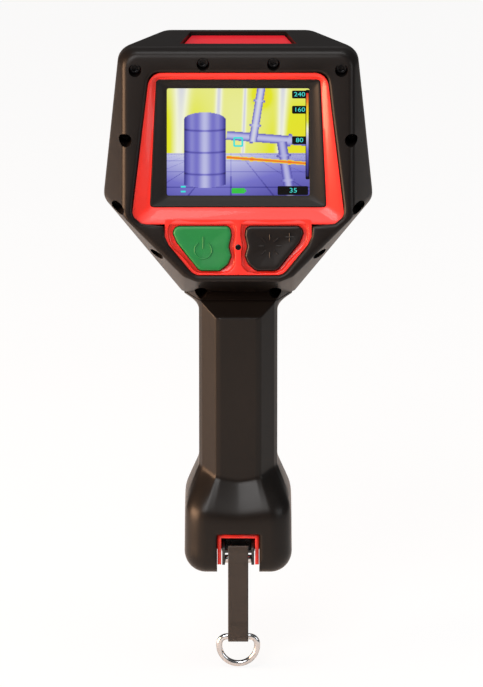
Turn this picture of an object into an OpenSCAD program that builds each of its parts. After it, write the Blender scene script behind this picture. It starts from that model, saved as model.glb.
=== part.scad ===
// Hand-held thermal imaging camera: head with a display, two-button deck, grip, base, strap and ring.
// Heights are drawn from the underside of the base, and place() then lowers everything so that
// the origin is at the centre of the hand grip. The user is at -Y, the lens looks along +Y.

/* [Head] */
// Lean of the display face back from upright
face_tilt = 15; // [12:0.5:18]
// Height of the display centre above the underside of the base
face_z = 212.8; // [211:0.2:214]
// Stand-off of the black face ahead of the display glass
face_rise = 6; // [5.8:0.1:6.6]
// Height of the flat top of the head
head_top = 257.5; // [257:0.25:259]
// Height of the joint between the head and the grip
seam_z = 134.8; // [134.4:0.1:135]
// Depth of the parting plane between the rear and front halves
part_y = 11.5; // [11:0.25:12]
// Thickness of the black covers
cover_t = 2.4; // [2:0.1:2.6]
// Thickness of the red inner housings
housing_t = 2.2; // [1.8:0.1:2.6]

/* [Display] */
// Width of the visible display
display_w = 70.1; // [68:0.1:71]
// Height of the visible display
display_h = 52.6; // [51:0.1:53]
// Thickness of the display window
window_t = 1.2; // [0.8:0.1:1.4]
// Thickness of the display panel
panel_t = 2.8; // [2:0.1:3]

/* [Buttons] */
// Travel of each button
button_travel = 1; // [0.6:0.1:1]
// Stand-off of the button tops ahead of the display glass
button_top = 5.2; // [4.8:0.1:5.8]
// Diameter of the small sensor lens between the buttons
sensor_d = 2.9; // [2.4:0.1:3.2]

/* [Lens] */
// Height of the optical axis
lens_z = 212; // [209:0.5:215]
// Radius of the nose that carries the lens
nose_r = 34; // [33:0.5:36]
// Front of the nose
nose_y = 72; // [70:0.5:76]
// Diameter of the germanium lens
lens_d = 37.8; // [34:0.2:38]

/* [Grip] */
// Half width of the grip
grip_half = 19.3; // [19:0.1:20]
// Half depth of the grip
grip_deep = 22; // [21.6:0.1:22.6]
// Wall of the rubber boot round the grip
boot_t = 2.3; // [2:0.1:2.4]
// Wall of the inner grip tube
core_t = 2; // [1.6:0.1:2.2]
// Height of the battery pack
battery_h = 78; // [70:1:79]

/* [Base] */
// Half width of the base
base_half = 26.45; // [26:0.1:28]
// Back face of the base, behind the grip axis
base_back = 32; // [31.8:0.1:33]
// Front face of the base, ahead of the grip axis
base_front = 27; // [26:0.5:29]
// Height of the door seat above the underside
door_seat = 12.8; // [12.6:0.1:13]
// Largest swing of the battery door
door_swing = 92; // [80:1:95]

/* [Strap and ring] */
// Width of the webbing
strap_w = 10; // [9:0.2:10.4]
// Length of the strap between its bar and the ring
strap_len = 43.8; // [38:0.2:60]
// Thickness of one ply of webbing
ply_t = 1.1; // [0.9:0.05:1.2]
// Wire diameter of the ring
ring_wire = 3; // [2.6:0.1:3]
// Outer width of the ring
ring_w = 21.7; // [21:0.1:24]
// Outer height of the ring
ring_h = 16.75; // [16.5:0.05:20]

/* [Fits] */
// Gap between fixed pieces that nest in one another
nest_gap = 0.2; // [0.1:0.05:0.3]
// Gap between seated faces
seat_gap = 0.1; // [0.05:0.05:0.15]
// Radial gap of turning and running fits
run_gap = 0.06; // [0.03:0.01:0.1]
// Gap round each button
button_gap = 0.35; // [0.3:0.05:0.5]

/* [Hidden] */
$fn = 64;

// Height of the origin, at the middle of the hand grip
origin_z = 85;
// Depth of the display centre
face_y = -2;

// Insets of the nested shells from the outside of the head
housing_in = cover_t + nest_gap;
cavity_in = housing_in + housing_t;
ring_in = 11.5;
// Bearing plane of the head screws and the faces of the two flanges
bearing_y = part_y - 3;
gasket_t = 0.8;
flange_rear = part_y - gasket_t / 2;
flange_front = part_y + gasket_t / 2;
flange_t = 2.1;
// Lowest height of the sealed cavity of the head
cavity_z = 143.4;
foot_z = seam_z + 0.4;
foot_back = -1.6;

// Head screws, as [half width, height], one pair each
screw_sites = [[17.3, 251], [50.7, 248.1], [55.5, 214.8], [59.1, 181.2], [40, 158.1], [18.3, 138.6]];
bore_d = 6.5;
tube_d = 9;
screw_head_d = 5.4;
screw_head_h = 3;
screw_d = 3;
screw_reach = 9;

// Levels of the face, counted out from the display glass
deck_rise = face_rise - 1.4;
dish_rise = 3;
deck_under = 1.4;
bezel_rise = 2.4;
shell_rise = face_rise - housing_in;
floor_t = 2.2;
button_foot = 0.3;
foot_t = 0.8;
keypad_top = button_foot - button_travel - 0.25;
keypad_t = 0.8;
switch_h = 1.8;
switch_top = keypad_top - keypad_t - seat_gap;
board_t = 1.6;
post_sites = [-45.5, -58.8];
button_mid = [17.5, -52];

// Depths of the board stack in the front housing
board_y = 15;
spacer_h = 3.9;
bracket_y = board_y + board_t + spacer_h;
bracket_t = 1.5;
boss_y = bracket_y + bracket_t;
board_sites = [[33, 188], [33, 236]];
board_bottom = 170;

// Lens stack, from its seat forward
seat_y = nose_y - 5.3;
flange_d = 52;
barrel_d = flange_d - 6.4;
hood_d = flange_d + 2.4;
dome_r = 100;
barrel_back = 42.5;

// Section of the head at the root of the nose
nose_root = 48;

// Inside of the grip
core_gap = boot_t + nest_gap;
bay_in = core_gap + core_t;
core_top = seam_z - 0.6;
shoulder_z = 128.2;
shoulder_rise = 0.63;
core_plate = 2.6;
neck_front = [7.5, 13.8];
neck_rear = [7, 2.5];
lead_y = 14.8;
lead_bore_d = 5;
battery_z = 18;
plug_h = 2;
plug_in = bay_in + 1;
door_t = 2.2;
door_top = door_seat - 0.8;

// Strap bracket in the notch of the base
pin_y = -23;
pin_z = 6;
pin_r = 2;
pin_half = 7.8;
knuckle_r = 3.5;
knuckle_half = 4;
ear_in = 6.5;
ear_t = 1.4;
bar_y = -29.2;
bar_z = 11.7;
bar_size = [2, 1.5];
bar_turn_r = 1.35;
notch_half = 10.4;
liner_half = 10.2;
liner_in = 8.35;
liner_top = 20;
liner_foot = 4.8;

ring_z = bar_z - strap_len;
loop_r = ring_wire / 2 + run_gap;

// Lowers the model so that the origin is at the middle of the grip
module place() {
    translate([0, 0, -origin_z]) children();
}

// Plane of the display: X to the right, Y up the face, Z out to the user
module face() {
    translate([0, face_y, face_z]) rotate([90 - face_tilt, 0, 0]) children();
}

// Upright prism between two depths of an outline in X and height
module upright(y0, y1) {
    translate([0, y1, 0]) rotate([90, 0, 0]) linear_extrude(y1 - y0) children();
}

// Box given by its two corners
module block(a, b) {
    translate(a) cube(b - a);
}

module rod(d, y0, y1) {
    translate([0, y1, 0]) rotate([90, 0, 0]) cylinder(d = d, h = y1 - y0);
}

// Both sides of the plane X = 0
module pair() {
    for (side = [0, 1]) mirror([side, 0, 0]) children();
}

// Outline symmetric about X = 0 from the points of its right half
module twin(half) {
    left = [for (i = [len(half) - 1:-1:0]) [-half[i].x, half[i].y]];
    polygon(concat(half, left));
}

module rounded(r) {
    offset(r = r, $fn = 32) offset(delta = -r) children();
}

// ---- outlines ----

module face_outline() {
    rounded(6) twin([[56.5, 43.6], [56.5, -37], [27, -66], [21, -68.5]]);
}

module surround_outline() {
    rounded(4) twin([[43.6, 33.8], [52.6, -40.5], [35.7, -40.5], [35.7, -48.3], [21.5, -65.5]]);
}

module bezel_outline() {
    rounded(1.5) twin([[40.2, 30.5], [43.2, -32]]);
}

module window_outline() {
    rounded(1) square([display_w, display_h], center = true);
}

// The right-hand button; the left one is its mirror image
module button_outline() {
    rounded(1.8) polygon([
        [4, -41.5], [31, -41.5], [32, -45], [30, -49.5], [19, -63.3],
        [9, -63.3], [5, -60], [3.4, -56], [4.7, -51.5], [3.4, -46]
    ]);
}

module keypad_outline() {
    twin([[34, -41], [34, -48.5], [21, -64]]);
}

module head_outline() {
    rounded(6) twin([[58.5, head_top], [66.3, 182], [27.5, 134], [19, 129.5]]);
}

// Part of the head outline above the joint with the grip
module flange_outline(inset, floor_z) {
    intersection() {
        offset(delta = -inset) head_outline();
        translate([-100, floor_z]) square([200, 200]);
    }
}

// Outline of the sealed cavity, grown inward by the wall for its inside
module cavity_outline(wall) {
    rounded(5) flange_outline(ring_in + wall, cavity_z + wall);
}

module root_outline() {
    rounded(5) twin([[38.5, head_top], [45, 228], [45, 192], [24, 165]]);
}

module grip_outline() {
    twin([[8.8, -grip_deep], [11.2, 0.6 - grip_deep], [17.8, 9 - grip_deep], [grip_half, 12 - grip_deep],
        [grip_half, grip_deep - 12], [17.8, grip_deep - 9], [11.2, grip_deep - 0.6], [8.8, grip_deep]]);
}

module base_outline() {
    mid = (base_front - base_back) / 2;
    translate([0, mid]) rounded(11) square([2 * base_half, base_front + base_back], center = true);
}

// ---- envelopes, each shrunk by an inset ----

// Back half of the head, from the display face to the parting plane
module rear_envelope(inset) {
    hull() {
        face() translate([0, 0, face_rise - inset - 1]) linear_extrude(1)
            offset(delta = -inset) face_outline();
        upright(bearing_y - 1, part_y) offset(delta = -inset) head_outline();
    }
}

// Front half of the head with its nose
module front_envelope(inset, nose_end) {
    hull() {
        upright(part_y, part_y + 6) offset(delta = -inset) head_outline();
        upright(nose_root - inset - 1, nose_root - inset) offset(delta = -inset) root_outline();
    }
    hull() {
        upright(nose_root - inset - 2, nose_root - inset) offset(delta = -inset) root_outline();
        translate([0, 0, lens_z]) rod(2 * (nose_r - inset), nose_y - 12, nose_end);
    }
}

// Everything under the sloping shoulder at the top of the grip's back
module under_shoulder(inset) {
    difference() {
        children();
        translate([0, -grip_deep, shoulder_z - inset]) rotate([atan(shoulder_rise), 0, 0])
            block([-60, -40, 0], [60, 40, 60]);
    }
}

// Grip between two heights
module neck(inset, z0, z1) {
    under_shoulder(inset * 1.18)
        translate([0, 0, z0]) linear_extrude(z1 - z0) offset(delta = -inset) grip_outline();
}

module base_slab(z, inset) {
    translate([0, 0, z]) linear_extrude(0.5) offset(delta = -inset) base_outline();
}

module base_solid() {
    hull() {
        base_slab(0, 7);
        base_slab(2, 3.9);
        base_slab(5, 1.3);
        base_slab(10, 0);
        base_slab(30.5, 0);
        translate([0, 0, 46]) linear_extrude(5) grip_outline();
    }
}

// ---- head ----

module screw_bores(d, y0, y1) {
    for (s = screw_sites) pair() translate([s.x, 0, s.y]) rod(d, y0, y1);
}

module rear_cover() {
    color("#26221f") place() difference() {
        intersection() {
            union() {
                difference() {
                    union() {
                        rear_envelope(0);
                        neck(0, seam_z, 150);
                    }
                    rear_envelope(cover_t);
                    neck(cover_t, seam_z - 1, 146);
                }
                intersection() {
                    screw_bores(tube_d, -30, bearing_y - seat_gap);
                    rear_envelope(0);
                }
            }
            block([-80, -60, seam_z], [80, part_y - seat_gap, 280]);
        }
        screw_bores(bore_d, -40, part_y);
        face() translate([0, 0, -2]) linear_extrude(20) offset(delta = nest_gap) surround_outline();
    }
}

module front_cover() {
    color("#1f1c1a") place() difference() {
        intersection() {
            union() {
                front_envelope(0, nose_y);
                neck(0, seam_z, 150);
            }
            block([-80, part_y + seat_gap, seam_z], [80, nose_y + 1, 280]);
        }
        front_envelope(cover_t, seat_y + nest_gap);
        neck(cover_t, seam_z - 1, 150);
        block([-40, part_y - 1, seam_z - 1], [40, part_y + 1, seam_z]);
        translate([0, 0, lens_z]) rod(hood_d, seat_y - 4, nose_y + 1);
        label_recess(0);
    }
}

// Tapering recess in the top for the plate
module label_recess(inset) {
    translate([0, 0, head_top - cover_t - nest_gap]) linear_extrude(10) offset(delta = -inset)
        twin([[28.7, 18.4], [23.5, 43]]);
}

module id_plate() {
    plate_t = 0.8;
    color("#d81f2e") place() intersection() {
        label_recess(0.7);
        translate([0, 0, head_top - cover_t - nest_gap + seat_gap / 2]) block([-40, 10, 0], [40, 50, plate_t]);
    }
}

module surround_block() {
    face() linear_extrude(deck_rise) surround_outline();
}

// Sloping dish of the surround down to the bezel
module dish_cut() {
    hull() {
        face() translate([0, 0, bezel_rise - 0.15]) linear_extrude(0.1)
            offset(delta = nest_gap + 0.3) bezel_outline();
        face() translate([0, 0, deck_rise + 0.05]) linear_extrude(0.5)
            rounded(3) twin([[42.6, 32.8], [51, -39.5]]);
    }
}

module rear_housing() {
    color("#de3429") place() difference() {
        union() {
            difference() {
                hull() {
                    face() linear_extrude(shell_rise) intersection() {
                        offset(delta = 1.5) surround_outline();
                        offset(delta = -housing_in) face_outline();
                    }
                    upright(bearing_y, flange_rear) cavity_outline(0);
                }
                screw_bores(tube_d + 2 * nest_gap, -40, bearing_y);
            }
            upright(bearing_y, flange_rear) flange_outline(housing_in, foot_z);
            surround_block();
            block([-12.5, foot_back, foot_z], [12.5, flange_rear, cavity_z + housing_t]);
        }
        hull() {
            face() translate([0, 0, -floor_t - 6]) linear_extrude(6) offset(delta = -3) surround_outline();
            upright(bearing_y, part_y + 1) cavity_outline(housing_t);
        }
        dish_cut();
        face() linear_extrude(20) offset(delta = nest_gap) bezel_outline();
        face() translate([0, 0, -floor_t - 1]) linear_extrude(floor_t + 2)
            square([display_w + 5.4, display_h + 5.4], center = true);
        face() translate([0, 0, -6]) linear_extrude(deck_under + 6) keypad_outline();
        pair() face() translate([0, 0, dish_rise]) linear_extrude(8) offset(r = 1.6, $fn = 24) button_outline();
        pair() face() linear_extrude(20) offset(delta = button_gap) button_outline();
        face() translate([0, -51.8, 0]) cylinder(d = sensor_d + 2 * nest_gap, h = 10);
        screw_bores(screw_d + 0.3, bearing_y - 2, part_y + 1);
        neck_bores(neck_rear, screw_d, foot_z - 1, 8);
    }
    color("#de3429") place() face() for (w = post_sites)
        translate([0, w, switch_top - switch_h + seat_gap])
            cylinder(d = 3.4, h = deck_under + 0.4 - switch_top + switch_h);
}

module front_housing() {
    color("#cf3026") place() difference() {
        union() {
            difference() {
                front_envelope(housing_in, seat_y);
                front_envelope(cavity_in, seat_y - housing_t);
            }
            upright(flange_front, flange_front + flange_t) flange_outline(housing_in, foot_z);
            intersection() {
                front_envelope(housing_in, seat_y);
                union() {
                    screw_bores(7.6, flange_front, part_y + 14);
                    for (s = board_sites) pair() translate([s.x, 0, s.y]) rod(7, boss_y, 60);
                    block([-24, flange_front, foot_z], [24, 21, cavity_z + housing_t]);
                }
            }
        }
        block([-80, 0, 100], [80, 90, foot_z]);
        block([-80, 0, 100], [80, flange_front, 280]);
        upright(part_y, board_y + 0.8) cavity_outline(housing_t);
        translate([0, 0, lens_z]) rod(barrel_d + 2 * nest_gap, 40, nose_y);
        screw_bores(screw_d + 0.04, part_y, bearing_y + screw_reach + 0.5);
        for (s = board_sites) pair() translate([s.x, 0, s.y]) rod(screw_d + 0.04, boss_y - 1, boss_y + 7);
        neck_bores(neck_front, screw_d, foot_z - 1, 8);
        lead_bore(foot_z - 1, 14);
    }
}

module housing_gasket() {
    color("#2b2b2d") place() difference() {
        upright(flange_rear, flange_front) difference() {
            flange_outline(housing_in + 0.3, foot_z);
            cavity_outline(housing_t);
        }
        screw_bores(screw_d + 0.3, part_y - 2, part_y + 2);
    }
}

module screw_at(d, head_d, head_h, reach) {
    // Shank along +Z from the bearing face at Z = 0, head below it
    difference() {
        union() {
            cylinder(d = d, h = reach);
            translate([0, 0, -head_h]) cylinder(d = head_d, h = head_h);
        }
        translate([0, 0, -head_h - 1]) cylinder(d = head_d * 0.5, h = 1 + head_h * 0.5, $fn = 6);
    }
}

module head_screws() {
    color("#1a1a1c") place() for (s = screw_sites) pair()
        translate([s.x, bearing_y, s.y]) rotate([-90, 0, 0])
            screw_at(screw_d, screw_head_d, screw_head_h, screw_reach);
}

// ---- display and buttons ----

module display_bezel() {
    color("#1c1a19") place() face() difference() {
        linear_extrude(bezel_rise) bezel_outline();
        hull() {
            translate([0, 0, 0.6]) linear_extrude(0.1) offset(delta = 0.5) window_outline();
            translate([0, 0, bezel_rise + 0.05]) linear_extrude(0.5) offset(delta = -1) bezel_outline();
        }
        translate([0, 0, -1]) linear_extrude(2) window_outline();
    }
}

module display_window() {
    color("#10182c") place() face() translate([0, 0, -window_t - seat_gap / 2]) linear_extrude(window_t)
        square([display_w + 5, display_h + 5], center = true);
}

module display_panel() {
    color("#2a3036") place() face() translate([0, 0, -floor_t - nest_gap - panel_t]) linear_extrude(panel_t)
        square([display_w + 6, display_h + 6], center = true);
}

module display_frame() {
    color("#9a9da0") place() face() difference() {
        translate([-display_w / 2 - 4, -display_h / 2 - 4, -7.2])
            cube([display_w + 8, display_h + 8, 7.2 - floor_t - seat_gap]);
        translate([-display_w / 2 - 3.1, -display_h / 2 - 3.1, -floor_t - nest_gap - panel_t - seat_gap])
            cube([display_w + 6.2, display_h + 6.2, 7]);
    }
}

// Cap through the deck, with a wider foot under it
module button_cap() {
    face() {
        translate([0, 0, button_foot]) linear_extrude(button_top - 0.6 - button_foot) button_outline();
        translate([0, 0, button_foot]) linear_extrude(button_top - button_foot)
            offset(delta = -0.6) button_outline();
        translate([0, 0, button_foot]) linear_extrude(foot_t) intersection() {
            offset(delta = 1) button_outline();
            offset(delta = -0.5) keypad_outline();
        }
    }
}

module mode_button() {
    color("#201e1d") place() difference() {
        button_cap();
        middle_guard();
    }
}

module power_button() {
    color("#16803f") place() mirror([1, 0, 0]) difference() {
        button_cap();
        middle_guard();
    }
}

// Keeps the feet of the two buttons clear of the posts between them
module middle_guard() {
    face() translate([-3, -70, -1]) cube([5.6, 40, 4]);
}

module keypad() {
    color("#3a3a3c") place() face() difference() {
        translate([0, 0, keypad_top - keypad_t]) linear_extrude(keypad_t)
            offset(delta = -0.5) keypad_outline();
        for (w = post_sites) translate([0, w, -4]) cylinder(d = 4, h = 8);
    }
}

module tact_switches() {
    color("#b8babc") place() face() pair() translate([button_mid.x, button_mid.y, switch_top - switch_h]) {
        translate([-3, -3, 0]) cube([6, 6, switch_h - 0.5]);
        cylinder(d = 3.5, h = switch_h);
    }
}

module switch_board() {
    color("#1f6b3a") place() face() translate([0, 0, switch_top - switch_h - seat_gap / 2 - 1.2])
        linear_extrude(1.2) offset(delta = -2.5) keypad_outline();
}

module sensor_lens() {
    color("#0c0c0e") place() face() translate([0, -51.8, deck_under + 0.4])
        cylinder(d = sensor_d, h = deck_rise - 1 - deck_under);
}

// ---- inside the head ----

module main_board() {
    color("#1f6b3a") place() difference() {
        block([-36, board_y, board_bottom], [36, board_y + board_t, board_bottom + 74]);
        for (s = board_sites) pair() translate([s.x, 0, s.y]) rod(screw_d + 0.2, 10, 20);
    }
    color("#222428") place() {
        block([-14, board_y + board_t, 176], [4, board_y + board_t + 2, 186]);
        block([-22, board_y + board_t, 198], [-4, board_y + board_t + 2, 216]);
        block([8, board_y + board_t, 206], [22, board_y + board_t + 2, 226]);
    }
}

module board_spacers() {
    color("#c9a24a") place() for (s = board_sites) pair() translate([s.x, 0, s.y]) difference() {
        rod(6, board_y + board_t, bracket_y);
        rod(screw_d + 0.2, board_y, boss_y);
    }
}

module core_bracket() {
    color("#b4b7ba") place() difference() {
        block([-38, bracket_y, 183], [38, boss_y, 241]);
        block([-14, bracket_y - 1, 198], [14, boss_y + 1, 226]);
        for (s = board_sites) pair() translate([s.x, 0, s.y]) rod(screw_d + 0.2, 10, 30);
    }
}

module board_screws() {
    color("#8f9296") place() for (s = board_sites) pair()
        translate([s.x, board_y, s.y]) rotate([-90, 0, 0]) screw_at(screw_d, 5.4, 1.9, 12);
}

module thermal_core() {
    color("#3c4046") place() {
        block([-21, boss_y, lens_z - 21], [21, boss_y + 16, lens_z + 21]);
        translate([0, 0, lens_z]) rod(32, boss_y + 15, barrel_back - seat_gap);
    }
}

module display_flex() {
    color("#c8803a") place() translate([-8, 0, 0]) rotate([90, 0, 90]) linear_extrude(16)
        polygon([[1.6, 197], [2, 197], [2, 190.2], [14.9, 183], [14.9, 177], [14.5, 177], [14.5, 182.7],
            [1.6, 189.9]]);
}

// ---- lens ----

module lens_barrel() {
    color("#2c2e31") place() translate([0, 0, lens_z]) difference() {
        union() {
            rod(barrel_d, barrel_back, seat_y + gasket_t);
            rod(flange_d, seat_y + gasket_t, seat_y + 3.3);
        }
        rod(lens_d - 6, barrel_back - 1, nose_y);
        rod(lens_d + 0.2, seat_y - 0.6, nose_y);
    }
}

module lens_seal() {
    color("#2b2b2d") place() translate([0, 0, lens_z]) difference() {
        rod(flange_d, seat_y, seat_y + gasket_t);
        rod(barrel_d + 0.1, seat_y - 1, seat_y + 2);
    }
}

// Half section of a domed disc on the optical axis, radius along X and depth along Y
module dome_section(r, y0, crown) {
    intersection() {
        translate([0, y0]) square([r, crown]);
        translate([0, seat_y + 2.6 + crown - 3.2 - dome_r]) circle(r = dome_r, $fn = 720);
    }
}

module germanium_lens() {
    color("#4a4550") place() translate([0, 0, lens_z]) rotate([-90, 0, 0])
        rotate_extrude($fn = 96) dome_section(lens_d / 2, seat_y - 0.6, 3.2);
}

module lens_retainer() {
    color("#2c2e31") place() translate([0, 0, lens_z]) difference() {
        rod(lens_d, seat_y + 2.2, seat_y + 3.3);
        rod(lens_d - 5, seat_y, nose_y);
    }
}

// ---- grip ----

module neck_seal() {
    color("#2b2b2d") place() difference() {
        block([-12.3, foot_back, core_top], [12.3, 17.4, foot_z]);
        neck_bores(neck_front, screw_d + 0.3, core_top - 1, 4);
        neck_bores(neck_rear, screw_d + 0.3, core_top - 1, 4);
        lead_bore(core_top - 1, 4);
    }
}

// Pair of upright bores at one neck screw site
module neck_bores(site, d, z, h) {
    pair() translate([site.x, site.y, z]) cylinder(d = d, h = h);
}

// Way through the neck for the battery leads
module lead_bore(z, h) {
    translate([0, lead_y, z]) cylinder(d = lead_bore_d, h = h);
}

module neck_screws() {
    color("#8f9296") place() for (site = [neck_front, neck_rear]) pair()
        translate([site.x, site.y, core_top - core_plate]) screw_at(screw_d - 0.04, 5.4, 2.8, 9);
}

module grip_core() {
    color("#cf3026") place() difference() {
        union() {
            neck(core_gap, door_seat, core_top);
            // Lining of the notch in the base
            block([-liner_half, 2.5 - base_back, liner_foot], [liner_half, core_gap - grip_deep + 1, liner_top]);
        }
        neck(bay_in, door_seat - 1, core_top - core_plate);
        block([-liner_in, -40, 0], [liner_in, core_gap - grip_deep, liner_top - 1.8]);
        block([-liner_half - 1, core_gap - grip_deep, 0], [liner_half + 1, 0, door_seat]);
        // Blind pocket above the bracket
        block([-5.85, core_gap - grip_deep - 1, 15.9], [5.85, core_gap - grip_deep + 1, 18.2]);
        neck_bores(neck_front, screw_d + 0.3, core_top - 6, 10);
        neck_bores(neck_rear, screw_d + 0.3, core_top - 6, 10);
        lead_bore(core_top - 6, 10);
        for (x = [-4.8, 4.8]) translate([x, 0, 14.2]) rod(2.5, -25, -10);
    }
}

module grip_boot() {
    color("#211d1b") place() difference() {
        union() {
            neck(0, 46, seam_z - nest_gap);
            base_solid();
            intersection() {
                union() {
                    rear_envelope(0);
                    front_envelope(0, nose_y);
                }
                block([-40, -8, 120], [40, 26, seam_z - nest_gap]);
            }
        }
        neck(boot_t, door_seat - 1, seam_z + 1);
        block([-17, boot_t - grip_deep, -1], [17, 21.5, door_seat - nest_gap]);
        // Notch for the strap, flared outward
        block([-notch_half, -40, -1], [notch_half, -15, liner_top + nest_gap]);
        hull() {
            block([-notch_half, -30, -1], [notch_half, -29.5, liner_top + nest_gap]);
            block([-notch_half - 2.2, -33.5, -1], [notch_half + 2.2, -33, liner_top + 2.2]);
        }
    }
}

module battery_pack() {
    bay = bay_in + 0.4;
    color("#2f3338") place() translate([0, 0, battery_z]) linear_extrude(battery_h)
        rounded(2) offset(delta = -bay) grip_outline();
}

module battery_contacts() {
    top = battery_z + battery_h;
    color("#c9a24a") place() {
        translate([0, 0, top + 1.6]) linear_extrude(1.8) offset(delta = -bay_in - 0.2) grip_outline();
        for (x = [-7, 7]) block([x - 2, -6, top + seat_gap], [x + 2, 6, top + 1.7]);
    }
}

module battery_leads() {
    top = battery_z + battery_h + 3.5;
    color("#b02020") place() pair()
        translate([1.3, lead_y, top]) cylinder(d = 1.8, h = board_bottom - 0.2 - top);
}

// ---- battery door ----

module battery_door() {
    color("#24211f") place() difference() {
        union() {
            block([-16.3, -19.2, door_top - door_t], [16.3, 20.5, door_top]);
            translate([0, 0, door_top]) linear_extrude(plug_h) offset(delta = -plug_in) grip_outline();
            hull() {
                translate([-knuckle_half, pin_y, pin_z]) rotate([0, 90, 0])
                    cylinder(r = 2.8, h = 2 * knuckle_half);
                block([-knuckle_half, -17, door_top - door_t - 1], [knuckle_half, -15, door_top - 0.4]);
            }
            translate([-knuckle_half, pin_y, pin_z]) rotate([0, 90, 0])
                cylinder(r = knuckle_r, h = 2 * knuckle_half);
        }
        translate([-10, pin_y, pin_z]) rotate([0, 90, 0]) cylinder(r = pin_r + run_gap, h = 20);
        // Finger groove across the outside
        translate([-8, 14, door_top - door_t - 1]) cube([16, 3, 1.8]);
    }
}

module door_seal() {
    color("#2b2b2d") place() translate([0, 0, door_top + seat_gap / 2]) linear_extrude(0.55) difference() {
        intersection() {
            offset(delta = -core_gap) grip_outline();
            translate([-30, -19.1]) square([60, 40]);
        }
        offset(delta = seat_gap - plug_in) grip_outline();
    }
}

module door_clip() {
    front = grip_deep - plug_in;
    color("#b9bcc0") place() block([-5, front + 0.05, door_top + 0.8], [5, front + 0.5, door_top + plug_h - 0.1]);
}

module door_pin() {
    color("#d0d2d4") place() translate([-pin_half, pin_y, pin_z]) rotate([0, 90, 0])
        cylinder(r = pin_r, h = 2 * pin_half);
}

// ---- strap ----

module strap_bracket() {
    plate_back = core_gap - grip_deep - seat_gap;
    color("#2e3030") place() {
        difference() {
            block([-liner_in + 0.15, plate_back - 1.5, 9.5], [liner_in - 0.15, plate_back, 15.7]);
            block([-5, plate_back - 3, 5], [5, plate_back + 1, 12.4]);
            for (x = [-4.8, 4.8]) translate([x, 0, 14.2]) rod(2.6, -25, -15);
        }
        pair() difference() {
            translate([ear_in, 0, 0]) rotate([90, 0, 90]) linear_extrude(ear_t)
                polygon([[plate_back - 0.5, 9.5], [plate_back - 0.5, 15.7], [-27, 15.7], [-30.4, 13.2],
                    [-30.4, 10.2], [-26, 3.6], [-20.6, 3.6]]);
            translate([0, pin_y, pin_z]) rotate([0, 90, 0]) cylinder(r = pin_r + 0.01, h = 20);
        }
        translate([0, bar_y, bar_z]) cube([2 * ear_in + 1, bar_size.x, bar_size.y], center = true);
    }
}

module bracket_screws() {
    color("#6f7276") place() for (x = [-4.8, 4.8])
        translate([x, core_gap - grip_deep - seat_gap - 1.5, 14.2]) rotate([-90, 0, 0])
            screw_at(2.46, 3, 1.2, 3.4);
}

// Tube across the strap at one end of it
module strap_loop(z, r) {
    translate([-strap_w / 2, bar_y, z]) rotate([0, 90, 0]) cylinder(r = r, h = strap_w);
}

module lanyard_strap() {
    color("#28221f") place() difference() {
        union() {
            strap_loop(bar_z, bar_turn_r + ply_t);
            strap_loop(ring_z, loop_r + ply_t);
            block([-strap_w / 2, bar_y - ply_t, ring_z + loop_r], [strap_w / 2, bar_y + ply_t, bar_z - 1.4]);
            hull() {
                block([-strap_w / 2, bar_y - ply_t, bar_z - 7], [strap_w / 2, bar_y + ply_t, bar_z - 6.5]);
                block([-strap_w / 2, bar_y - 2.1, bar_z - 1.6], [strap_w / 2, bar_y + 2.1, bar_z - 1.3]);
            }
            hull() {
                block([-strap_w / 2, bar_y - ply_t, ring_z + 7], [strap_w / 2, bar_y + ply_t, ring_z + 7.5]);
                block([-strap_w / 2, bar_y - 2.2, ring_z + 1.4], [strap_w / 2, bar_y + 2.2, ring_z + 1.7]);
            }
        }
        translate([-10, bar_y, bar_z]) rotate([0, 90, 0]) cylinder(r = bar_turn_r, h = 20);
        translate([-10, bar_y, ring_z]) rotate([0, 90, 0]) cylinder(r = loop_r, h = 20);
    }
}

module ring_arc(r, turn) {
    rotate([90, 0, 0]) rotate([0, 0, turn]) rotate_extrude(angle = 90)
        translate([r, 0]) circle(d = ring_wire, $fn = 32);
}

module d_ring() {
    half = (ring_w - ring_wire) / 2;
    corner = 3.8;
    drop = ring_h - ring_wire - half;
    color("#c9cbcd") place() translate([0, bar_y, ring_z]) {
        translate([corner - half, 0, 0]) rotate([0, 90, 0]) cylinder(d = ring_wire, h = 2 * (half - corner), $fn = 32);
        pair() translate([half - corner, 0, -corner]) ring_arc(corner, 0);
        pair() translate([half, 0, -drop]) cylinder(d = ring_wire, h = drop - corner, $fn = 32);
        translate([0, 0, -drop]) for (turn = [180, 270]) ring_arc(half, turn);
    }
}

rear_cover();
front_cover();
rear_housing();
front_housing();
housing_gasket();
display_bezel();
display_window();
display_panel();
display_frame();
power_button();
mode_button();
keypad();
switch_board();
tact_switches();
sensor_lens();
id_plate();
main_board();
board_screws();
board_spacers();
display_flex();
thermal_core();
core_bracket();
lens_barrel();
germanium_lens();
lens_retainer();
lens_seal();
head_screws();
neck_seal();
neck_screws();
grip_core();
grip_boot();
battery_pack();
battery_contacts();
battery_leads();
battery_door();
door_seal();
door_clip();
door_pin();
strap_bracket();
bracket_screws();
lanyard_strap();
d_ring();
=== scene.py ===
"""Dresses the hand-held thermal imaging camera: covers, surround, screen, buttons, grip, strap and lens.

Sizes in the sidebar are metres. Inside the script every outline is in millimetres with its heights
counted from the underside of the base, and build() turns them into metres in the shared frame.
"""

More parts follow.
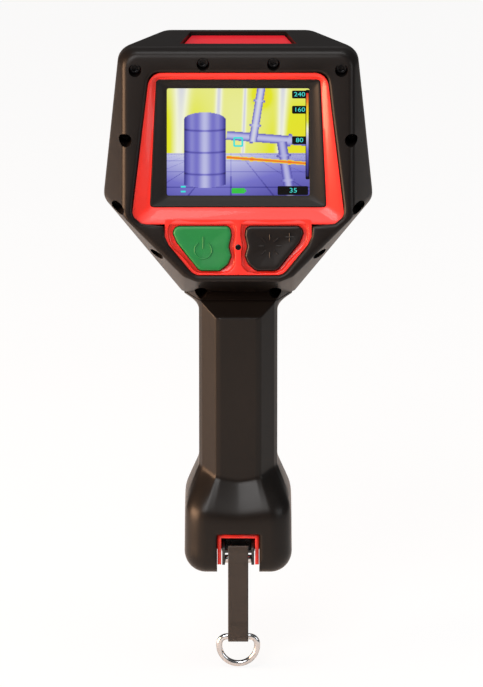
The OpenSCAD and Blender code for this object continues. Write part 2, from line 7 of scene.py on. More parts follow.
import bmesh
import bpy
import numpy as np
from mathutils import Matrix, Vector


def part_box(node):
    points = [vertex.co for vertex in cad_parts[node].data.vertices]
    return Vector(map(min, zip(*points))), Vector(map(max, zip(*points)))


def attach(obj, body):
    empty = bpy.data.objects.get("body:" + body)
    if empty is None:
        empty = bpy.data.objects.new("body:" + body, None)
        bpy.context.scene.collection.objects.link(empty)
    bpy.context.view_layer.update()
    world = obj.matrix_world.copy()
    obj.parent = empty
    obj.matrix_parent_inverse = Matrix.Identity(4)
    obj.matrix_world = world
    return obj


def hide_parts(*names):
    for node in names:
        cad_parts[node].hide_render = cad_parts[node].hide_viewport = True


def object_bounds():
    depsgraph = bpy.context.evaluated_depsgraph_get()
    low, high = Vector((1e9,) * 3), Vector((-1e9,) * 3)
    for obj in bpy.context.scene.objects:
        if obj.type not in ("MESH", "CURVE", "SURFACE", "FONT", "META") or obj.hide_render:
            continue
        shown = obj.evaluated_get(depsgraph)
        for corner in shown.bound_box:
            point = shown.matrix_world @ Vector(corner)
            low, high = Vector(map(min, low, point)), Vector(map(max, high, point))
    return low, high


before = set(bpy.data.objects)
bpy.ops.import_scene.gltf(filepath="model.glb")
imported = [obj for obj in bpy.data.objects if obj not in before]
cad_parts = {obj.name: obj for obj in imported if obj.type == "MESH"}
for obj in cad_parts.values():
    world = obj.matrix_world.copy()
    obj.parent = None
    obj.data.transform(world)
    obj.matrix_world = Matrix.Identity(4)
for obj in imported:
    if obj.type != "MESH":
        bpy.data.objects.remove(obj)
CAD_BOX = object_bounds()

bl_info = {
    "name": "Thermal imaging camera",
    "version": (1, 0, 0),
    "blender": (4, 5, 0),
    "location": "View3D > Sidebar > Camera",
    "description": "Builds the dressed pieces of a hand-held thermal imaging camera",
    "category": "Object",
}

MM = 0.001
LEAN = np.radians(15)
SIN, COS = np.sin(LEAN), np.cos(LEAN)


def low(node):
    """Lowest corner of a CAD node in millimetres."""
    return np.array(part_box(node)[0]) / MM


def high(node):
    """Highest corner of a CAD node in millimetres."""
    return np.array(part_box(node)[1]) / MM


BASE_Z = low("grip_boot")[2]
WINDOW_MID = (low("display_window") + high("display_window")) / 2
WINDOW_DEEP = 0.65
FACE_Y = WINDOW_MID[1] - COS * WINDOW_DEEP
FACE_Z = WINDOW_MID[2] + SIN * WINDOW_DEEP - BASE_Z
TOP = high("rear_cover")[2] - BASE_Z
SEAM = low("rear_cover")[2] - BASE_Z
PART_Y = (high("rear_cover")[1] + low("front_cover")[1]) / 2
BEARING_Y = PART_Y - 3
LENS_Z = (low("lens_barrel")[2] + high("lens_barrel")[2]) / 2 - BASE_Z
NOSE_Y = high("front_cover")[1]
NOSE_R = 34.0
HOOD_R = 27.2
ROOT_Y = 48.0
HEAD_MID = np.array([0.0, 190.0])
CAVITY_SHARE = 0.82
SENSOR_AT = np.array([0.0, -51.8])
SENSOR_R = 1.45
BORE_D = 6.3
STROKE_R = 0.36
JOINT_GAP = 0.12
SURROUND_GAP = 0.25
SKIRT_IN = 0.25
LAP_IN = 2.4
BLOCK_HALF, BLOCK_LOW = 90.0, 100.0

FACE_RISE = 6.0
DECK_RISE = 4.6
DISH_RISE = 3.0
BEZEL_RISE = 2.4

SCREW_SITES = [(17.3, 251.0), (50.7, 248.1), (55.5, 214.8), (59.1, 181.2), (40.0, 158.1), (18.3, 138.6)]

# ---- outlines ----


def around(angles):
    """Unit vectors at these angles."""
    return np.stack([np.cos(angles), np.sin(angles)], 1)


def twin(half):
    """Closed outline from the points of its right half, listed from the top down."""
    half = np.array(half, float)
    return np.vstack([half * (-1, 1), half[::-1]])


def rounded(corners, radii, edge=8, arc=10):
    """Outline with its corners rounded: each corner is an arc tangent to its two edges, at the
    distance radius / tan(half the corner's angle) from the corner, and straight steps follow it."""
    p = np.array(corners, float)
    r = np.broadcast_to(np.array(radii, float), len(p))[:, None]
    back, ahead = np.roll(p, 1, 0) - p, np.roll(p, -1, 0) - p
    back /= np.linalg.norm(back, axis=1, keepdims=True)
    ahead /= np.linalg.norm(ahead, axis=1, keepdims=True)
    half = np.arccos(np.clip((back * ahead).sum(1), -1, 1))[:, None] / 2
    start, end = p + back * r / np.tan(half), p + ahead * r / np.tan(half)
    mid = back + ahead
    size = np.linalg.norm(mid, axis=1, keepdims=True)
    mid = np.where(size > 1e-4, mid / np.maximum(size, 1e-4), ahead[:, ::-1] * (1, -1))
    centre = p + mid * r / np.sin(half)
    a = np.arctan2(*(start - centre).T[::-1])
    turn = (np.arctan2(*(end - centre).T[::-1]) - a + np.pi) % (2 * np.pi) - np.pi
    angle = a[:, None] + turn[:, None] * np.linspace(0, 1, arc + 1)
    arcs = centre[:, None] + r[:, None] * np.stack([np.cos(angle), np.sin(angle)], -1)
    steps = np.linspace(0, 1, edge + 1)[1:-1, None]
    edges = end[:, None] + (np.roll(start, -1, 0) - end)[:, None] * steps
    return np.concatenate([arcs, edges], 1).reshape(-1, 2)


def oblong(x0, x1, y0, y1):
    """Corners of a rectangle, once round from (x0, y0)."""
    return np.array([(x0, y0), (x1, y0), (x1, y1), (x0, y1)])


def outward(loop):
    """Unit normals of a closed anticlockwise outline, from the chord between each point's neighbours."""
    t = np.roll(loop, -1, 0) - np.roll(loop, 1, 0)
    n = np.stack([t[:, 1], -t[:, 0]], 1)
    return n / np.linalg.norm(n, axis=1, keepdims=True)


def grown(loop, by):
    """Outline moved outward along its normals."""
    return loop + outward(loop) * by


def at_angles(loop, centre, angles):
    """Points where rays from the centre at these angles meet a star-shaped outline."""
    d = loop - centre
    r = np.interp(angles, np.arctan2(d[:, 1], d[:, 0]), np.hypot(*d.T), period=2 * np.pi)
    return centre + r[:, None] * around(angles)


def facing(loop, angles):
    """Point of a convex outline that lies furthest along each direction. Rings paired this way
    span the tightest skin over both outlines."""
    return loop[np.argmax(around(angles) @ loop.T, axis=1)]


def shrunk(loop, centre, share):
    """Outline drawn in towards a centre to a share of its size."""
    return centre + (loop - centre) * share


def angles_of(loop, centre):
    """Angle of each point of an outline about a centre."""
    return np.arctan2(*(loop - centre).T[::-1])


FACE_HALF = [(56.5, 43.6), (56.5, -37), (27, -66), (21, -68.5)]
HEAD_HALF = [(58.5, TOP), (66.3, 182), (27.5, 134), (19, 129.5)]
ROOT_HALF = [(38.5, TOP), (45, 228), (45, 192), (24, 165)]
SURROUND_HALF = [(43.6, 33.8), (52.6, -40.5), (35.7, -40.5), (35.7, -48.3), (21.5, -65.5)]
BEZEL_HALF = [(40.2, 30.5), (43.2, -32)]
SCREEN = np.array([70.1, 52.6])


def face_outline(inset=0.0):
    """Edge of the black face, in the plane of the display."""
    return grown(rounded(twin(FACE_HALF), [8, 8, 6, 5, 5, 6, 8, 8]), -inset)


def head_outline(inset=0.0):
    """Edge of the head at its parting plane, across and up."""
    return grown(rounded(twin(HEAD_HALF), [8, 7, 8, 6, 6, 8, 7, 8]), -inset)


def root_outline():
    """Section of the head where the nose starts, across and up."""
    return rounded(twin(ROOT_HALF), [6, 6, 6, 6, 6, 6, 6, 6])


def surround_outline(gap=0.0):
    """Edge of the red surround, in the plane of the display."""
    radii = [5, 7, 2.5, 5, 6, 6, 5, 2.5, 7, 5]
    return grown(rounded(twin(SURROUND_HALF), radii), gap)


# ---- from outlines to places ----


def on_face(loop, rise):
    """Places at a height out from the display glass: the face leans back by LEAN."""
    rise = np.broadcast_to(rise, len(loop))
    y = FACE_Y + SIN * loop[:, 1] - COS * rise
    return np.stack([loop[:, 0], y, FACE_Z + COS * loop[:, 1] + SIN * rise], 1)


def upright(loop, y):
    """Places on an upright plane at a depth."""
    return np.stack([loop[:, 0], np.broadcast_to(y, len(loop)), loop[:, 1]], 1)


def level(loop, z):
    """Places on a level plane at a height."""
    return np.stack([loop[:, 0], loop[:, 1], np.broadcast_to(z, len(loop))], 1)


def bend(a, b, c, steps=5):
    """Rings along the quadratic curve from a to c that is tangent to a-b and b-c."""
    t = np.linspace(0, 1, steps + 1)[:, None, None]
    return list((1 - t) ** 2 * a + 2 * t * (1 - t) * b + t**2 * c)


def towards(a, b, length):
    """Point of each a-b line at this distance from a."""
    d = b - a
    return a + d / np.linalg.norm(d, axis=1, keepdims=True) * length


# ---- meshes ----


def grid_faces(rows, n, wrap):
    """Quads of a grid of rows by n points closed round each row, and closed over the rows if wrap."""
    i, j = np.meshgrid(np.arange(rows if wrap else rows - 1), np.arange(n), indexing="ij")
    up, on = (i + 1) % rows, (j + 1) % n
    return np.stack([i * n + j, i * n + on, up * n + on, up * n + j], -1).reshape(-1, 4)


def linked(name, data):
    """New object with this data, in the scene's collection."""
    obj = bpy.data.objects.new(name, data)
    bpy.context.collection.objects.link(obj)
    return obj


def points_of(mesh):
    """Places of a mesh's points, in metres."""
    co = np.empty(len(mesh.vertices) * 3)
    mesh.vertices.foreach_get("co", co)
    return co.reshape(-1, 3)


def build(name, verts, faces, caps=()):
    """Mesh object from points in millimetres, quads and extra many-sided faces."""
    v = np.array(verts, float) + (0, 0, BASE_Z)
    mesh = bpy.data.meshes.new(name)
    mesh.from_pydata((v * MM).tolist(), [], np.asarray(faces).tolist() + [list(map(int, c)) for c in caps])
    mesh.validate()
    return linked(name, mesh)


def loft(name, rings, wrap=False, cap=True):
    """Surface through rings of equal count, closed into a ring over them, or capped at both ends."""
    rings = np.array(rings)
    k, n = rings.shape[:2]
    caps = [] if wrap or not cap else [np.arange(n)[::-1], (k - 1) * n + np.arange(n)]
    return build(name, rings.reshape(-1, 3), grid_faces(k, n, wrap), caps)


def turned(name, profile, centre, axis="y", n=64, wrap=True):
    """Surface of revolution: radius and distance along the axis, turned about a centre."""
    a = np.linspace(0, 2 * np.pi, n, endpoint=False)
    r, h = np.array(profile, float).T
    u, v = r[:, None] * np.cos(a), r[:, None] * np.sin(a)
    h = np.broadcast_to(h[:, None], u.shape)
    order = {"x": (h, u, v), "y": (v, h, u), "z": (u, v, h)}[axis]
    return loft(name, np.stack(order, -1) + np.array(centre, float), wrap, cap=not wrap)


def tube(name, path, radius, n=16, closed=True):
    """Round tube along a path: each ring is a circle square to the path's direction there."""
    path = np.array(path, float)
    if closed:
        t = np.roll(path, -1, 0) - np.roll(path, 1, 0)
    else:
        t = np.gradient(path, axis=0)
    t /= np.linalg.norm(t, axis=1, keepdims=True)
    ref = np.array([0.0, 1.0, 0.0])
    side = np.cross(t, ref)
    side /= np.linalg.norm(side, axis=1, keepdims=True)
    up = np.cross(side, t)
    a = np.linspace(0, 2 * np.pi, n, endpoint=False)[None, :, None]
    rings = path[:, None] + radius * (np.cos(a) * side[:, None] + np.sin(a) * up[:, None])
    return loft(name, rings, wrap=closed)


def face_out(obj):
    """Points every face of a closed mesh outward."""
    bm = bmesh.new()
    bm.from_mesh(obj.data)
    bmesh.ops.remove_doubles(bm, verts=bm.verts, dist=1e-7)
    bmesh.ops.recalc_face_normals(bm, faces=bm.faces)
    bm.to_mesh(obj.data)
    bm.free()


def soften(obj, angle=35):
    """Smooth shading that keeps edges sharper than an angle."""
    obj.data.shade_smooth()
    obj.data.set_sharp_from_angle(angle=np.radians(angle))


def joined(name, parts):
    """One object from several, keeping each one's place."""
    verts, faces, start = [], [], 0
    for part in parts:
        mesh = part.data
        verts.append(points_of(mesh))
        faces += [[start + v for v in f.vertices] for f in mesh.polygons]
        start += len(mesh.vertices)
        bpy.data.objects.remove(part)
    mesh = bpy.data.meshes.new(name)
    mesh.from_pydata(np.vstack(verts).tolist(), [], faces)
    return linked(name, mesh)


def applied(obj):
    """Applies every modifier of an object to its mesh."""
    dg = bpy.context.evaluated_depsgraph_get()
    mesh = bpy.data.meshes.new_from_object(obj.evaluated_get(dg))
    obj.modifiers.clear()
    obj.data = mesh


def cut(obj, cutters, how="DIFFERENCE"):
    """Takes each cutter out of the object and removes the cutter."""
    for cutter in cutters:
        face_out(cutter)
        m = obj.modifiers.new("cut", "BOOLEAN")
        m.operation, m.object, m.solver = how, cutter, "EXACT"
        applied(obj)
        if not obj.data.polygons:
            raise RuntimeError(f"nothing is left of {obj.name} after {cutter.name}")
        bpy.data.objects.remove(cutter)


def prism(name, loop, place, a, b):
    """Straight-sided solid of an outline between two heights or depths of a placing function."""
    return loft(name, [place(loop, a), place(loop, b)])


def bevelled(obj, width, angle=35, segments=2):
    """Narrow rounded edge on every corner sharper than an angle."""
    m = obj.modifiers.new("edge", "BEVEL")
    m.width, m.segments, m.limit_method, m.angle_limit = width * MM, segments, "ANGLE", np.radians(angle)


def dressed(obj, body, material, stands_for=(), angle=35):
    """Gives a piece its finish, its body and the CAD nodes that it stands for."""
    face_out(obj)
    soften(obj, angle)
    obj.data.materials.clear()
    obj.data.materials.append(material)
    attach(obj, body)
    if stands_for:
        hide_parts(*stands_for)
    return obj


# ---- finishes ----

FINISH = {}


class Finish:
    """Small helper that wires a procedural material on Object coordinates."""

    def __init__(self, name, roughness=0.5, metallic=0.0, coat=0.0, ior=1.45, sheen=0.0):
        self.mat = bpy.data.materials.new(name)
        self.mat.use_nodes = True
        self.tree = self.mat.node_tree
        self.bsdf = self.tree.nodes["Principled BSDF"]
        self.bsdf.inputs["Roughness"].default_value = roughness
        self.bsdf.inputs["Metallic"].default_value = metallic
        self.bsdf.inputs["Coat Weight"].default_value = coat
        self.bsdf.inputs["IOR"].default_value = ior
        self.bsdf.inputs["Sheen Weight"].default_value = sheen
        self.coord = self.tree.nodes.new("ShaderNodeTexCoord")
        self.height = None

    def link(self, a, b):
        self.tree.links.new(a, b)

    def noise(self, scale, detail=4, rough=0.6, stretch=None, uv=False):
        """Noise of a scale per metre, stretched along the axes if asked."""
        n = self.tree.nodes.new("ShaderNodeTexNoise")
        n.inputs["Scale"].default_value = scale
        n.inputs["Detail"].default_value = detail
        n.inputs["Roughness"].default_value = rough
        source = self.coord.outputs["UV" if uv else "Object"]
        if stretch:
            m = self.tree.nodes.new("ShaderNodeMapping")
            m.inputs["Scale"].default_value = stretch
            self.link(source, m.inputs["Vector"])
            source = m.outputs["Vector"]
        self.link(source, n.inputs["Vector"])
        return n.outputs["Fac"]

    def ramp(self, source, stops):
        """Colour ramp through (position, colour) stops."""
        r = self.tree.nodes.new("ShaderNodeValToRGB")
        e = r.color_ramp.elements
        while len(e) < len(stops):
            e.new(0.5)
        for element, (at, colour) in zip(e, stops):
            element.position = at
            element.color = (*colour, 1) if len(colour) == 3 else colour
        self.link(source, r.inputs["Fac"])
        return r.outputs["Color"]

    def colour(self, source, a, b, low_at=0.35, high_at=0.7):
        self.link(self.ramp(source, [(low_at, a), (high_at, b)]), self.bsdf.inputs["Base Color"])

    def rough(self, source, a, b):
        m = self.tree.nodes.new("ShaderNodeMapRange")
        m.inputs["To Min"].default_value, m.inputs["To Max"].default_value = a, b
        self.link(source, m.inputs["Value"])
        self.link(m.outputs["Result"], self.bsdf.inputs["Roughness"])

    def bump(self, source, strength, depth_mm):
        """Bump of a depth in millimetres, laid over any earlier bump."""
        b = self.tree.nodes.new("ShaderNodeBump")
        b.inputs["Strength"].default_value = strength
        b.inputs["Distance"].default_value = depth_mm * MM
        self.link(source, b.inputs["Height"])
        if self.height:
            self.link(self.height, b.inputs["Normal"])
        self.height = b.outputs["Normal"]
        self.link(self.height, self.bsdf.inputs["Normal"])


def linear(r, g, b):
    """Linear colour from 0-255 display values, by the standard display curve."""
    c = np.array([r, g, b]) / 255
    return tuple(np.where(c <= 0.04045, c / 12.92, ((c + 0.055) / 1.055) ** 2.4))


def moulded(name, dark, light, roughness, grain=2600, depth=0.03, coat=0.0, wide=0.06, shine=0.5):
    """Moulded plastic or rubber: fine grain in relief, cloudy tone and a roughness that wanders."""
    f = Finish(name, roughness, coat=coat)
    f.bsdf.inputs["Specular IOR Level"].default_value = shine
    cloud = f.noise(22, 5)
    f.colour(cloud, dark, light)
    f.rough(f.noise(60, 3), roughness - wide, roughness + wide)
    f.bump(f.noise(grain, 2, 0.5), 0.35, depth)
    return f.mat


def metal(name, colour, roughness, brushed=None):
    """Metal with fine scratches; brushed gives the stretch of the scratches along the axes."""
    f = Finish(name, roughness, metallic=1.0)
    f.colour(f.noise(90, 4), tuple(0.85 * c for c in colour), colour)
    f.rough(f.noise(900, 3, stretch=brushed or (1, 1, 1)), roughness - 0.06, roughness + 0.08)
    f.bump(f.noise(2200, 2, stretch=brushed or (1, 1, 1)), 0.12, 0.01)
    return f.mat


def webbing(name, dark, light):
    """Woven strap on its own UV map, in millimetres: U runs across and V along. Waves across and
    along are multiplied; a wave texture of scale 20 / (2 pi) has one band to each unit."""
    f = Finish(name, 0.85, sheen=0.25)
    waves = []
    for direction, per_mm in (("X", 1.1), ("Y", 0.75)):
        w = f.tree.nodes.new("ShaderNodeTexWave")
        w.bands_direction = direction
        w.inputs["Scale"].default_value = per_mm * 20 / (2 * np.pi)
        w.inputs["Distortion"].default_value = 0.6
        w.inputs["Detail"].default_value = 1.0
        f.link(f.coord.outputs["UV"], w.inputs["Vector"])
        waves.append(w.outputs["Fac"])
    m = f.tree.nodes.new("ShaderNodeMath")
    m.operation = "MULTIPLY"
    f.link(waves[0], m.inputs[0])
    f.link(waves[1], m.inputs[1])
    f.colour(m.outputs[0], dark, light, 0.05, 0.8)
    f.bump(m.outputs[0], 0.6, 0.15)
    f.bump(f.noise(6000, 2), 0.3, 0.02)
    return f.mat


def shades(colour, spread=0.14):
    """A darker and a lighter tone round a colour, for the cloudiness of a finish."""
    c = np.array(colour[:3])
    return tuple(c * (1 - spread)), tuple(c * (1 + spread))


def make_finishes(look):
    """Every finish of the object, by name, from the colours in the sidebar."""
    FINISH.update(
        cover=moulded("moulded_black", *shades(look.cover, 0.2), 0.38, shine=0.22),
        boot=moulded("boot_rubber", *shades(look.boot, 0.2), 0.34, 2200, 0.03, shine=0.25),
        red=moulded("housing_red", *shades(look.red, 0.05), 0.36, 1800, 0.015, coat=0.15),
        bezel=moulded("bezel_black", *shades(look.bezel), 0.45, 2400, 0.02, shine=0.22),
        green=moulded("button_green", *shades(look.green, 0.08), 0.42, 1500, 0.012),
        key=moulded("button_black", *shades(look.cover, 0.15), 0.33, 1500, 0.012, shine=0.35),
        crimson=moulded("plate_crimson", *shades(look.crimson, 0.05), 0.35, 900, 0.01, coat=0.3),
        rubber=moulded("seal_rubber", *shades(linear(38, 37, 38)), 0.7, 1800, 0.03),
        door=moulded("door_black", *shades(linear(36, 33, 30)), 0.5),
        board=moulded("board_green", *shades(linear(26, 98, 54)), 0.35, 700, 0.02),
        filter=moulded("filter_glass", *shades(linear(11, 11, 14)), 0.12, 300, 0.002, wide=0.03),
        chrome=metal("bright_steel", linear(205, 207, 210), 0.16),
        bracket=metal("bracket_metal", linear(70, 72, 73), 0.42),
        screw=metal("black_steel", linear(48, 47, 48), 0.38),
        zinc=metal("zinc_steel", linear(150, 152, 156), 0.34),
        barrel=metal("barrel_black", linear(52, 54, 57), 0.36, (1, 0.05, 1)),
        alloy=metal("pressed_metal", linear(168, 170, 174), 0.38),
        brass=metal("spacer_brass", linear(206, 170, 92), 0.3),
        germanium=metal("germanium", linear(92, 84, 104), 0.08),
        battery=moulded("battery_black", *shades(linear(50, 54, 60)), 0.55),
        lead=moulded("lead_red", *shades(linear(170, 34, 32)), 0.45, 1200, 0.01),
        flex=moulded("flex_amber", *shades(linear(198, 126, 55)), 0.35, 800, 0.01),
        strap=webbing("webbing", *shades(look.strap, 0.45)),
        screen=screen_finish(),
        ink=glowing("screen_ink", linear(6, 6, 8), 0.0),
        digits=glowing("screen_digits", linear(60, 222, 214), 1.0),
        mark=glowing("screen_mark", linear(40, 190, 60), 1.0),
    )


def screen_finish():
    """Lit screen: the picture is the piece's own colour attribute, under a smooth clear face."""
    f = Finish("lit_screen", 0.12)
    f.bsdf.inputs["Base Color"].default_value = (0.01, 0.01, 0.012, 1)
    f.bsdf.inputs["Specular IOR Level"].default_value = 0.3
    tone = f.tree.nodes.new("ShaderNodeAttribute")
    tone.attribute_name = "picture"
    f.link(tone.outputs["Color"], f.bsdf.inputs["Emission Color"])
    f.bsdf.inputs["Emission Strength"].default_value = 1.0
    return f.mat


def glowing(name, colour, strength):
    """Printed or lit mark on the screen, faintly cloudy."""
    f = Finish(name, 0.3)
    a, b = shades(colour, 0.06)
    tone = f.ramp(f.noise(400, 2), [(0.3, a), (0.7, b)])
    f.bsdf.inputs["Specular IOR Level"].default_value = 0.2
    if strength:
        f.bsdf.inputs["Base Color"].default_value = (0.01, 0.01, 0.01, 1)
        f.link(tone, f.bsdf.inputs["Emission Color"])
        f.bsdf.inputs["Emission Strength"].default_value = strength
    else:
        f.link(tone, f.bsdf.inputs["Base Color"])
    return f.mat


# ---- head ----


def slab(name, y0, y1, z0, z1):
    """Block wider than the head, to cut it with, between two depths and two heights."""
    return prism(name, oblong(-BLOCK_HALF, BLOCK_HALF, y0, y1), level, z0, z1)


def screw_posts(diameter, y0, y1, n=40):
    """Cylinders along Y at the twelve screws."""
    return [
        turned("post", [(diameter / 2, y0), (diameter / 2, y1)], (side * x, 0, z), "y", n, wrap=False)
        for x, z in SCREW_SITES
        for side in (-1, 1)
    ]


def head_width(z):
    """Half width of the lower head at a height, along the two slanted edges of its outline."""
    (x2, z2), (x1, z1), (x0, z0) = HEAD_HALF[1:]
    return np.where(z > z1, x1 + (z - z1) * (x2 - x1) / (z2 - z1), x0 + (z - z0) * (x1 - x0) / (z1 - z0))


GRIP_HALF, GRIP_DEEP, FLARE_HALF, SHOULDER_Z, SHOULDER_RISE = 19.3, 22.0, 26.6, 128.2, 0.63
FLARE_BACK, FLARE_OVER, FLARE_FRONT, FLARE_FADE = -9.6, 17.6, 14.5, 3.0
SLANT = 1.18
GRIP_PLAN_HALF = [
    (8.8, 22), (17.8, 14), (19.3, 11.5), (19.3, -9.6), (17.8, -13), (11.2, -21.4), (8.8, -22),
]
ROUND = np.linspace(-np.pi, np.pi, 288, endpoint=False) + 0.003
GRIP_PLAN = at_angles(rounded(twin(GRIP_PLAN_HALF), 0.8, 8, 4), np.zeros(2), ROUND)


def neck_plan(z, inset=0.0):
    """Section of the grip and neck at a height. Its back is cut off at a slanted plane that moves
    forward by (z - shoulder) / rise, and its sides widen forward to the slanted edges of the head."""
    loop = grown(GRIP_PLAN, -inset)
    x, y = loop.T
    back = max(-GRIP_DEEP, -GRIP_DEEP + (z - SHOULDER_Z + inset * SLANT) / SHOULDER_RISE)
    wide = np.clip(head_width(z), GRIP_HALF, FLARE_HALF) / GRIP_HALF - 1
    fade = np.clip((FLARE_FRONT - y) / FLARE_FADE, 0, 1)
    x = x * (1 + wide * np.clip((y - FLARE_BACK) / FLARE_OVER, 0, 1) * fade)
    return np.stack([x, np.maximum(y, back)], 1)


def rear_cover(look):
    """Solid ring between the surround and the edge of the head, drilled for the screws. Its profile
    runs up from the surround over a round lip, across the face, over a round edge and down a
    straight slope to the parting plane."""
    f, h = face_outline(), head_outline()
    hub = np.array([0.0, -5.0])
    s = at_angles(surround_outline(SURROUND_GAP), hub, angles_of(f, hub))
    gap = np.linalg.norm(f - s, axis=1)[:, None]
    lip, edge = np.minimum(look.lip / MM, 0.5 * gap), np.minimum(look.edge / MM, 0.45 * gap)
    brow, rim = on_face(f, FACE_RISE), upright(h, BEARING_Y)
    rings = [
        upright(shrunk(h, HEAD_MID, CAVITY_SHARE), BEARING_Y - 0.1),
        on_face(s, 0.5),
        *bend(on_face(s, FACE_RISE - lip[:, 0]), on_face(s, FACE_RISE), on_face(grown(s, lip), FACE_RISE)),
        *bend(on_face(grown(f, -edge), FACE_RISE), brow, towards(brow, rim, edge), 6),
        *bend(towards(rim, brow, 2.0), rim, upright(h, BEARING_Y + 1.5)),
        upright(h, PART_Y - 0.4),
        upright(head_outline(SKIRT_IN), PART_Y - JOINT_GAP),
        upright(head_outline(LAP_IN), PART_Y - JOINT_GAP),
        upright(head_outline(LAP_IN), BEARING_Y - 0.1),
    ]
    shell = loft("rear_cover_shell", rings, wrap=True)
    face_out(shell)
    collar = loft("collar", [level(neck_plan(z), z) for z in (133, 135, 137, 139, 141, 144, 147)])
    front = slab("front", 60, PART_Y - JOINT_GAP, BLOCK_LOW, 280)
    cut(collar, [front])
    cut(shell, [collar], "UNION")
    below = slab("below", -60, 60, BLOCK_LOW, SEAM)
    cut(shell, [below])
    cut(shell, [joined("bores", screw_posts(BORE_D, -60, BEARING_Y + 2))])
    bevelled(shell, 0.3, 40)
    return dressed(shell, "camera", FINISH["cover"], ["rear_cover"], 30)


def front_cover():
    """Front half: the outline of the head drawn in to the root of the nose and on to the round
    hood, with a round rim and a bore for the lens."""
    hub = np.array([0.0, LENS_Z])
    a = np.linspace(-np.pi, np.pi, 360, endpoint=False) + 0.002
    circle = around(a)
    h, r, skirt = (facing(loop, a) for loop in (head_outline(), root_outline(), head_outline(SKIRT_IN)))
    nose, bore = hub + NOSE_R * circle, hub + HOOD_R * circle
    edge, root, rim = upright(h, PART_Y + 6), upright(r, ROOT_Y), upright(nose, NOSE_Y)
    rings = [
        upright(skirt, PART_Y + JOINT_GAP),
        upright(h, PART_Y + 0.4),
        upright(h, PART_Y + 3),
        *bend(upright(h, PART_Y + 4), edge, towards(edge, root, 3.0)),
        *bend(towards(root, edge, 4.0), root, towards(root, rim, 4.0), 8),
        *bend(towards(rim, root, 2.5), rim, upright(hub + (NOSE_R - 2) * circle, NOSE_Y)),
        *bend(upright(hub + (HOOD_R + 1) * circle, NOSE_Y), upright(bore, NOSE_Y), upright(bore, NOSE_Y - 1)),
        upright(bore, 64),
        upright(hub + (HOOD_R + 2) * circle, 60),
        upright(shrunk(h, HEAD_MID, CAVITY_SHARE), PART_Y + JOINT_GAP),
    ]
    shell = loft("front_cover_shell", rings, wrap=True)
    face_out(shell)
    plate = np.array([(-23.5, 43), (-28.7, 18.4), (28.7, 18.4), (23.5, 43)])
    cut(shell, [prism("recess", plate, level, TOP - 2.7, TOP + 20)])
    below = slab("below", -60, 90, BLOCK_LOW, SEAM)
    cut(shell, [below])
    bevelled(shell, 0.4, 40)
    return dressed(shell, "camera", FINISH["cover"], ["front_cover"], 30)


WELL_GAP, WELL_WIDE, WELL_SHARE = 0.35, 3.2, 0.62


def button_outline():
    """Edge of the right-hand button."""
    corners = [(32, -45), (31, -41.5), (4, -41.5), (3.4, -46), (4.7, -51.5), (3.4, -56), (5, -60), (9, -63.3)]
    corners += [(19, -63.3), (30, -49.5)]
    return rounded(corners, [2.5, 3, 2.5, 1.5, 3, 2, 2, 3, 4, 3], 10, 8)


def surround():
    """Red surround: a dish round the bezel, two button wells below it and the flange behind.

    The dish is the surround's edge drawn in to the bezel. Each well is the button's edge drawn out
    to its half of the deck, through a floor, a slope and a round brim."""
    hub = np.array([0.0, -3.0])
    cornered = rounded(twin([(43.6, 33.8), (52.6, -40.5)]), [7, 5, 5, 7], 60, 10)
    inner = at_angles(rounded(twin(BEZEL_HALF), 1.5, 60, 8), hub, angles_of(cornered, hub))
    dish = loft("dish", [
        on_face(grown(inner, 0.2), 0.2),
        on_face(grown(inner, 0.2), BEZEL_RISE),
        *bend(on_face(grown(inner, 0.6), BEZEL_RISE), on_face(grown(cornered, -1.2), DECK_RISE),
              on_face(cornered, DECK_RISE - 0.15), 8),
        on_face(cornered, 0.2),
    ], wrap=True)
    b = button_outline()
    hub = np.array([17.0, -52.0])
    corners = [(36, -48.3), (36, -38.2), (0, -38.2), (0, -65.4), (21.8, -65.4)]
    deck = rounded(corners, [5, 1, 0.2, 0.2, 6], 40, 8)
    deck = at_angles(deck, hub, angles_of(b, hub))
    wall = grown(b, WELL_GAP)
    room = np.linalg.norm(deck - wall, axis=1)[:, None]
    wide = np.minimum(WELL_WIDE, WELL_SHARE * room)
    wells = []
    for side in (1, -1):
        rings = [
            on_face(wall, 0.2),
            on_face(wall, DISH_RISE),
            on_face(grown(b, 0.5), DISH_RISE),
            *bend(on_face(grown(b, 0.25 * wide), DISH_RISE), on_face(grown(b, wide), DISH_RISE + 0.2),
                  on_face(grown(b, wide), DECK_RISE - 0.5), 5),
            *bend(on_face(grown(b, wide), DECK_RISE - 0.5), on_face(grown(b, wide), DECK_RISE),
                  on_face(grown(b, wide + 0.4), DECK_RISE), 4),
            on_face(deck, DECK_RISE),
            on_face(deck, 0.2),
        ]
        rings = np.array(rings) * (side, 1, 1)
        wells.append(loft("well", rings, wrap=True))
    for piece in [dish, *wells]:
        face_out(piece)
    dish = joined("surround", [dish, *wells])
    dressed(dish, "camera", FINISH["red"], ["rear_housing"], 30)
    h = head_outline(2.6)
    flange = loft("flange", [
        upright(h, BEARING_Y), upright(h, PART_Y - 0.4),
        upright(shrunk(h, HEAD_MID, CAVITY_SHARE), PART_Y - 0.4),
        upright(shrunk(h, HEAD_MID, CAVITY_SHARE), BEARING_Y),
    ], wrap=True)
    below = slab("below", -60, 60, BLOCK_LOW, SEAM + 0.4)
    face_out(flange)
    cut(flange, [below])
    dressed(flange, "camera", FINISH["red"], angle=30)
    return dish


